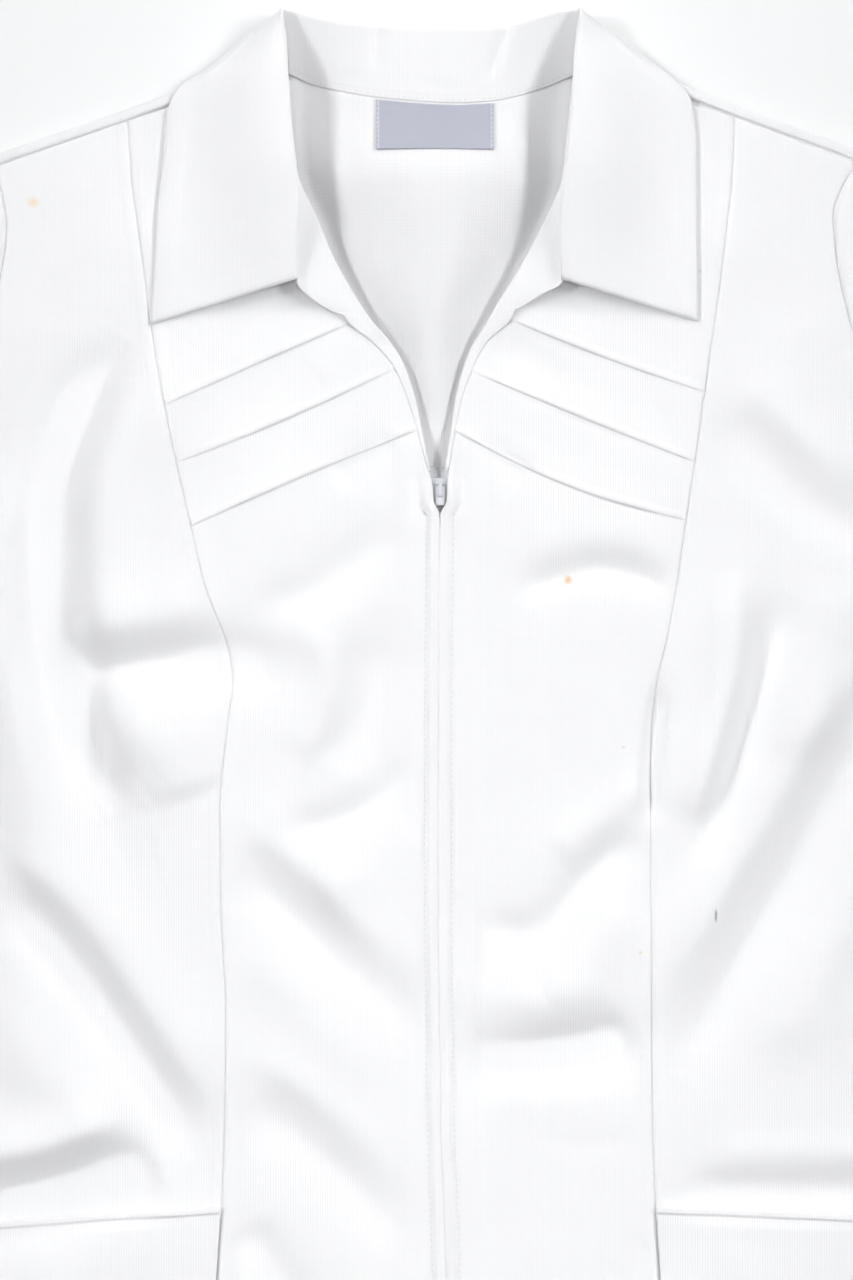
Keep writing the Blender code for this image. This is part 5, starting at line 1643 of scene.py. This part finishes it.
@dataclass(frozen=True)
class ZipFastener:
    """The zip: two woven tapes, the nylon coil, and the enamelled slider with its pull tab."""
    finishes: Wardrobe
    rows: RowTree
    tape_top: float = 2.1
    tape_end_y: float = 164.0
    tape_rows: int = 275
    rib_rise: float = 0.06
    rib_pitch: float = 4.0
    coil_rise: float = 0.62
    coil_half: float = 0.75
    coil_pitch: float = 1.25
    coil_length: float = 0.5
    coil_thickness: float = 0.42
    reach: tuple = (0.4, 0.9, 1.6, 3.0, 5.0, 7.0, 9.0, 11.0, 12.6, 13.4, 14.0)

    def tape(self, side: Side) -> None:
        """Half of the tape, with fine ribs across it."""
        y = np.linspace(ZIP_FOOT_Y, self.tape_end_y, self.tape_rows)[:, None]
        x = zip_line(y) + side * np.array(self.reach)[None, :]
        ribs = self.rib_rise * np.cos(2 * np.pi * y / self.rib_pitch)
        piece = wall(f"zip_tape_{side.label}_weave", stack(x, y, self.tape_top + ribs),
                     stack(x, y, FORM.front_base), self.finishes.tape)
        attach(piece, "garment")
        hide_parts(f"zip_tape_{side.label}")

    def build(self) -> None:
        """Make the tapes and the coil, and finish the slider and the tab."""
        for side in Side:
            self.tape(side)
        y = np.linspace(ZIP_FOOT_Y + 6, ZIP_TOP_Y, 260)
        paths = [stack(zip_line(y) + side * self.coil_half, y, self.tape_top + self.coil_rise)
                 for side in Side]
        self.rows.run("zip_coil", paths, self.coil_pitch, self.coil_length, self.coil_thickness,
                      self.finishes.coil, Slot.TAPE)
        for node in ("zip_slider", "pull_tab"):
            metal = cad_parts[node]
            metal.data.materials.clear()
            metal.data.materials.append(self.finishes.enamel)


@dataclass(frozen=True)
class NeckLabel:
    """The sewn-in label, left bare with a plain woven border."""
    finishes: Wardrobe
    foot_y: float = 313.8
    foot_rows: int = 34
    columns: int = 73
    border: float = 1.3

    def side_gap(self, x: Grid) -> Grid:
        """Distance from the nearer end."""
        return np.minimum(x - LABEL_ENDS[0], LABEL_ENDS[1] - x)

    def build(self) -> None:
        """Make the label."""
        x = np.linspace(*LABEL_ENDS, self.columns)[None, :]
        upper = across(NECK_SEAM, x) - 0.8
        y = self.foot_y + (upper - self.foot_y) * np.linspace(0, 1, self.foot_rows)[:, None]
        x = np.broadcast_to(x, y.shape)
        low = FORM.back_bottom(x, y) + FORM.cloth + LABEL_LIFT
        low = low + fold_height(LABEL_WAVES, x, y)
        gap = self.side_gap(x)
        hem = 0.12 * (1 - ease((gap - 1.6) / 0.5))
        top = low + LABEL_THICK + hem - edge_roll(np.minimum(gap, y - self.foot_y), 0.7, 0.3)
        piece = wall("neck_label_satin", stack(x, y, top), stack(x, y, low), self.finishes.satin)
        piece.data.materials.append(self.finishes.border)
        for face in piece.data.polygons:
            if self.side_gap(face.center.x / MM) < self.border:
                face.material_index = 1
        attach(piece, "garment")
        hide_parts("neck_label")


@dataclass(frozen=True)
class Seamstress:
    """All rows of visible stitches."""
    finishes: Wardrobe
    rows: RowTree
    pitch: float = 2.9
    length: float = 2.2
    thickness: float = 0.42
    label_inset: float = 0.7

    def sew(self, name: str, paths: Sequence[Grid]) -> None:
        """One row of stitches or more as one piece."""
        self.rows.run(name, paths, self.pitch, self.length, self.thickness, self.finishes.thread, Slot.KNIT)

    def zip_rows(self) -> None:
        """Topstitching on both sides of the zip."""
        y = np.linspace(ZIP_FOOT_Y, ZIP_TOP_Y, 300)
        for side in Side:
            x = through(FRONT_EDGE[side], y) + side * ZIP_STITCH
            self.sew(f"zip_topstitch_{side.label}", [stack(x, y, FORM.front_top(x, y) - 0.46)])

    def pocket_rows(self) -> None:
        """The row that holds each pocket's mouth hem."""
        t = np.linspace(0, 1, 90)
        for side in Side:
            outer_y = SIDE_ROWS[side][4].outer_y
            inner_x = float(through(PRINCESS_SEAM[side], POCKET_Y)) + side * 1.5
            outer_x = float(through(SIDE_EDGE[side], outer_y)) - side * 3
            x, y = between((inner_x, outer_x), t), between((POCKET_Y, outer_y), t)
            z = FORM.front_bottom(x, y) + 2 * FORM.cloth + FORM.gap + POCKET_LIFT + 0.9
            self.sew(f"pocket_mouth_stitch_{side.label}", [stack(x, y - 2.3, z)])

    def neck_rows(self) -> None:
        """The edge stitching above the back neck seam."""
        collar = Collar(self.finishes)
        x = np.linspace(-66, 61, 90)
        seam_y = across(NECK_SEAM, x)
        start, end = collar.band_foot
        low = collar.band_low(x, seam_y, (x - start) / (end - start), 1.8 / (across(BAND_TOP, x) - seam_y))
        self.sew("neck_edge_stitch", [stack(x, seam_y + 1.9, low + 1.48)])

    def label_rows(self) -> None:
        """The stitches that hold the label's two ends."""
        y = np.linspace(315, 335, 12)
        paths = []
        for x in (LABEL_ENDS[0] + self.label_inset, LABEL_ENDS[1] - self.label_inset):
            low = FORM.back_bottom(np.full(y.shape, x), y) + FORM.cloth + LABEL_LIFT
            paths.append(stack(x, y, low + LABEL_THICK + 0.2 + fold_height(LABEL_WAVES, x, y)))
        self.rows.run("label_stitch", paths, 2.2, 1.5, 0.32, self.finishes.dark_thread, Slot.KNIT)

    def hem_rows(self) -> None:
        """The hem's row of stitches on the centre fronts."""
        paths = []
        for side in Side:
            x = side * np.linspace(9, 112, 90)
            y = HEM_Y + 20 + HEM_CURVE * (x / HALF_HEM) ** 2
            paths.append(stack(x, y, FORM.front_top(x, y) + 0.1))
        self.sew("hem_stitch", paths)

    def build(self) -> None:
        """Sew everything."""
        self.zip_rows()
        self.pocket_rows()
        self.neck_rows()
        self.label_rows()
        self.hem_rows()


@dataclass(frozen=True)
class SoftBox:
    """One area light, in metres, aimed at the garment."""
    name: str
    place: tuple
    size: float
    power: float
    length: float = 0.0
    spread: float = 180.0
    aim: tuple = PICTURE_CENTRE


SOFT_BOXES = table(
    SoftBox,
    ("left_key_light", (-4.2, 3.4, 3.4), 1.2, 89.0),
    ("right_key_light", (4.2, 3.4, 3.4), 1.2, 98.0),
    ("top_light", (0.0, 0.3, 4.0), 0.9, 34.5),
    ("left_light", (-2.1, 0.4, 1.9), 0.5, 1.62, 2.4, 18.0, (0.16, 0.06, 0.0)),
    ("right_light", (2.1, 0.4, 1.9), 0.5, 1.62, 2.4, 18.0, (-0.16, 0.06, 0.0)),
)


@dataclass(frozen=True)
class Studio:
    """Pale floor, soft lights and the camera straight above, in metres."""
    height: float = 2.2
    frame_length: float = 0.6095
    sensor: float = 36.0
    floor_size: float = 6.0
    floor_drop: float = 0.0002
    world: tuple = (0.94, 0.94, 0.95, 1.0)
    world_strength: float = 0.20

    def camera(self) -> None:
        """The camera, looking straight down with the neck at the top."""
        data = bpy.data.cameras.new("camera")
        data.lens = self.sensor * self.height / self.frame_length
        camera = link_new("camera", data)
        camera.location = Vector(PICTURE_CENTRE) + Vector((0, 0, self.height))
        bpy.context.scene.camera = camera

    def light(self) -> None:
        """The soft boxes and the even light all round."""
        for box in SOFT_BOXES:
            data = bpy.data.lights.new(box.name, "AREA")
            data.shape = "RECTANGLE"
            data.size = box.length or box.size
            data.size_y = box.size
            data.energy = box.power
            data.spread = float(np.radians(box.spread))
            lamp = link_new(box.name, data)
            lamp.location = box.place
            lamp.rotation_euler = (Vector(box.aim) - Vector(box.place)).to_track_quat("-Z", "Y").to_euler()
        world = bpy.data.worlds.new("even_light")
        world.use_nodes = True
        sky = world.node_tree.nodes["Background"]
        sky.inputs["Color"].default_value = self.world
        sky.inputs["Strength"].default_value = self.world_strength
        bpy.context.scene.world = world
        bpy.context.scene.view_settings.view_transform = "Standard"

    def floor(self) -> None:
        """The pale table top, with a faint unevenness."""
        mesh = bpy.data.meshes.new("table_top")
        body = bmesh.new()
        bmesh.ops.create_grid(body, x_segments=4, y_segments=4, size=self.floor_size)
        bmesh.ops.translate(body, verts=body.verts, vec=(0, 0, -self.floor_drop))
        body.to_mesh(mesh)
        body.free()
        paper = GrainFinish("table_paper", (0.885, 0.895, 0.897, 1.0), (0.875, 0.885, 0.887, 1.0), 0.9,
                            grain_scale=4.0, relief=0.0)
        mesh.materials.append(paper.make())
        link_new("table_top", mesh)

    def build(self) -> None:
        """Set up the whole studio."""
        self.camera()
        self.light()
        self.floor()


def main() -> None:
    """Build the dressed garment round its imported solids."""
    logging.basicConfig(level=logging.INFO, format="%(name)s: %(message)s")
    Studio().build()
    finishes = Wardrobe()
    stitches = RowTree("stitch_row", coil=False)
    links = RowTree("coil_row", coil=True)
    FrontPanels(finishes).build()
    BackPanel(finishes).build()
    Sleeves(finishes).build()
    Collar(finishes).build()
    NeckFacings(finishes).build()
    ZipFastener(finishes, links).build()
    NeckLabel(finishes).build()
    Seamstress(finishes, stitches).build()


if __name__ == "__main__":
    main()
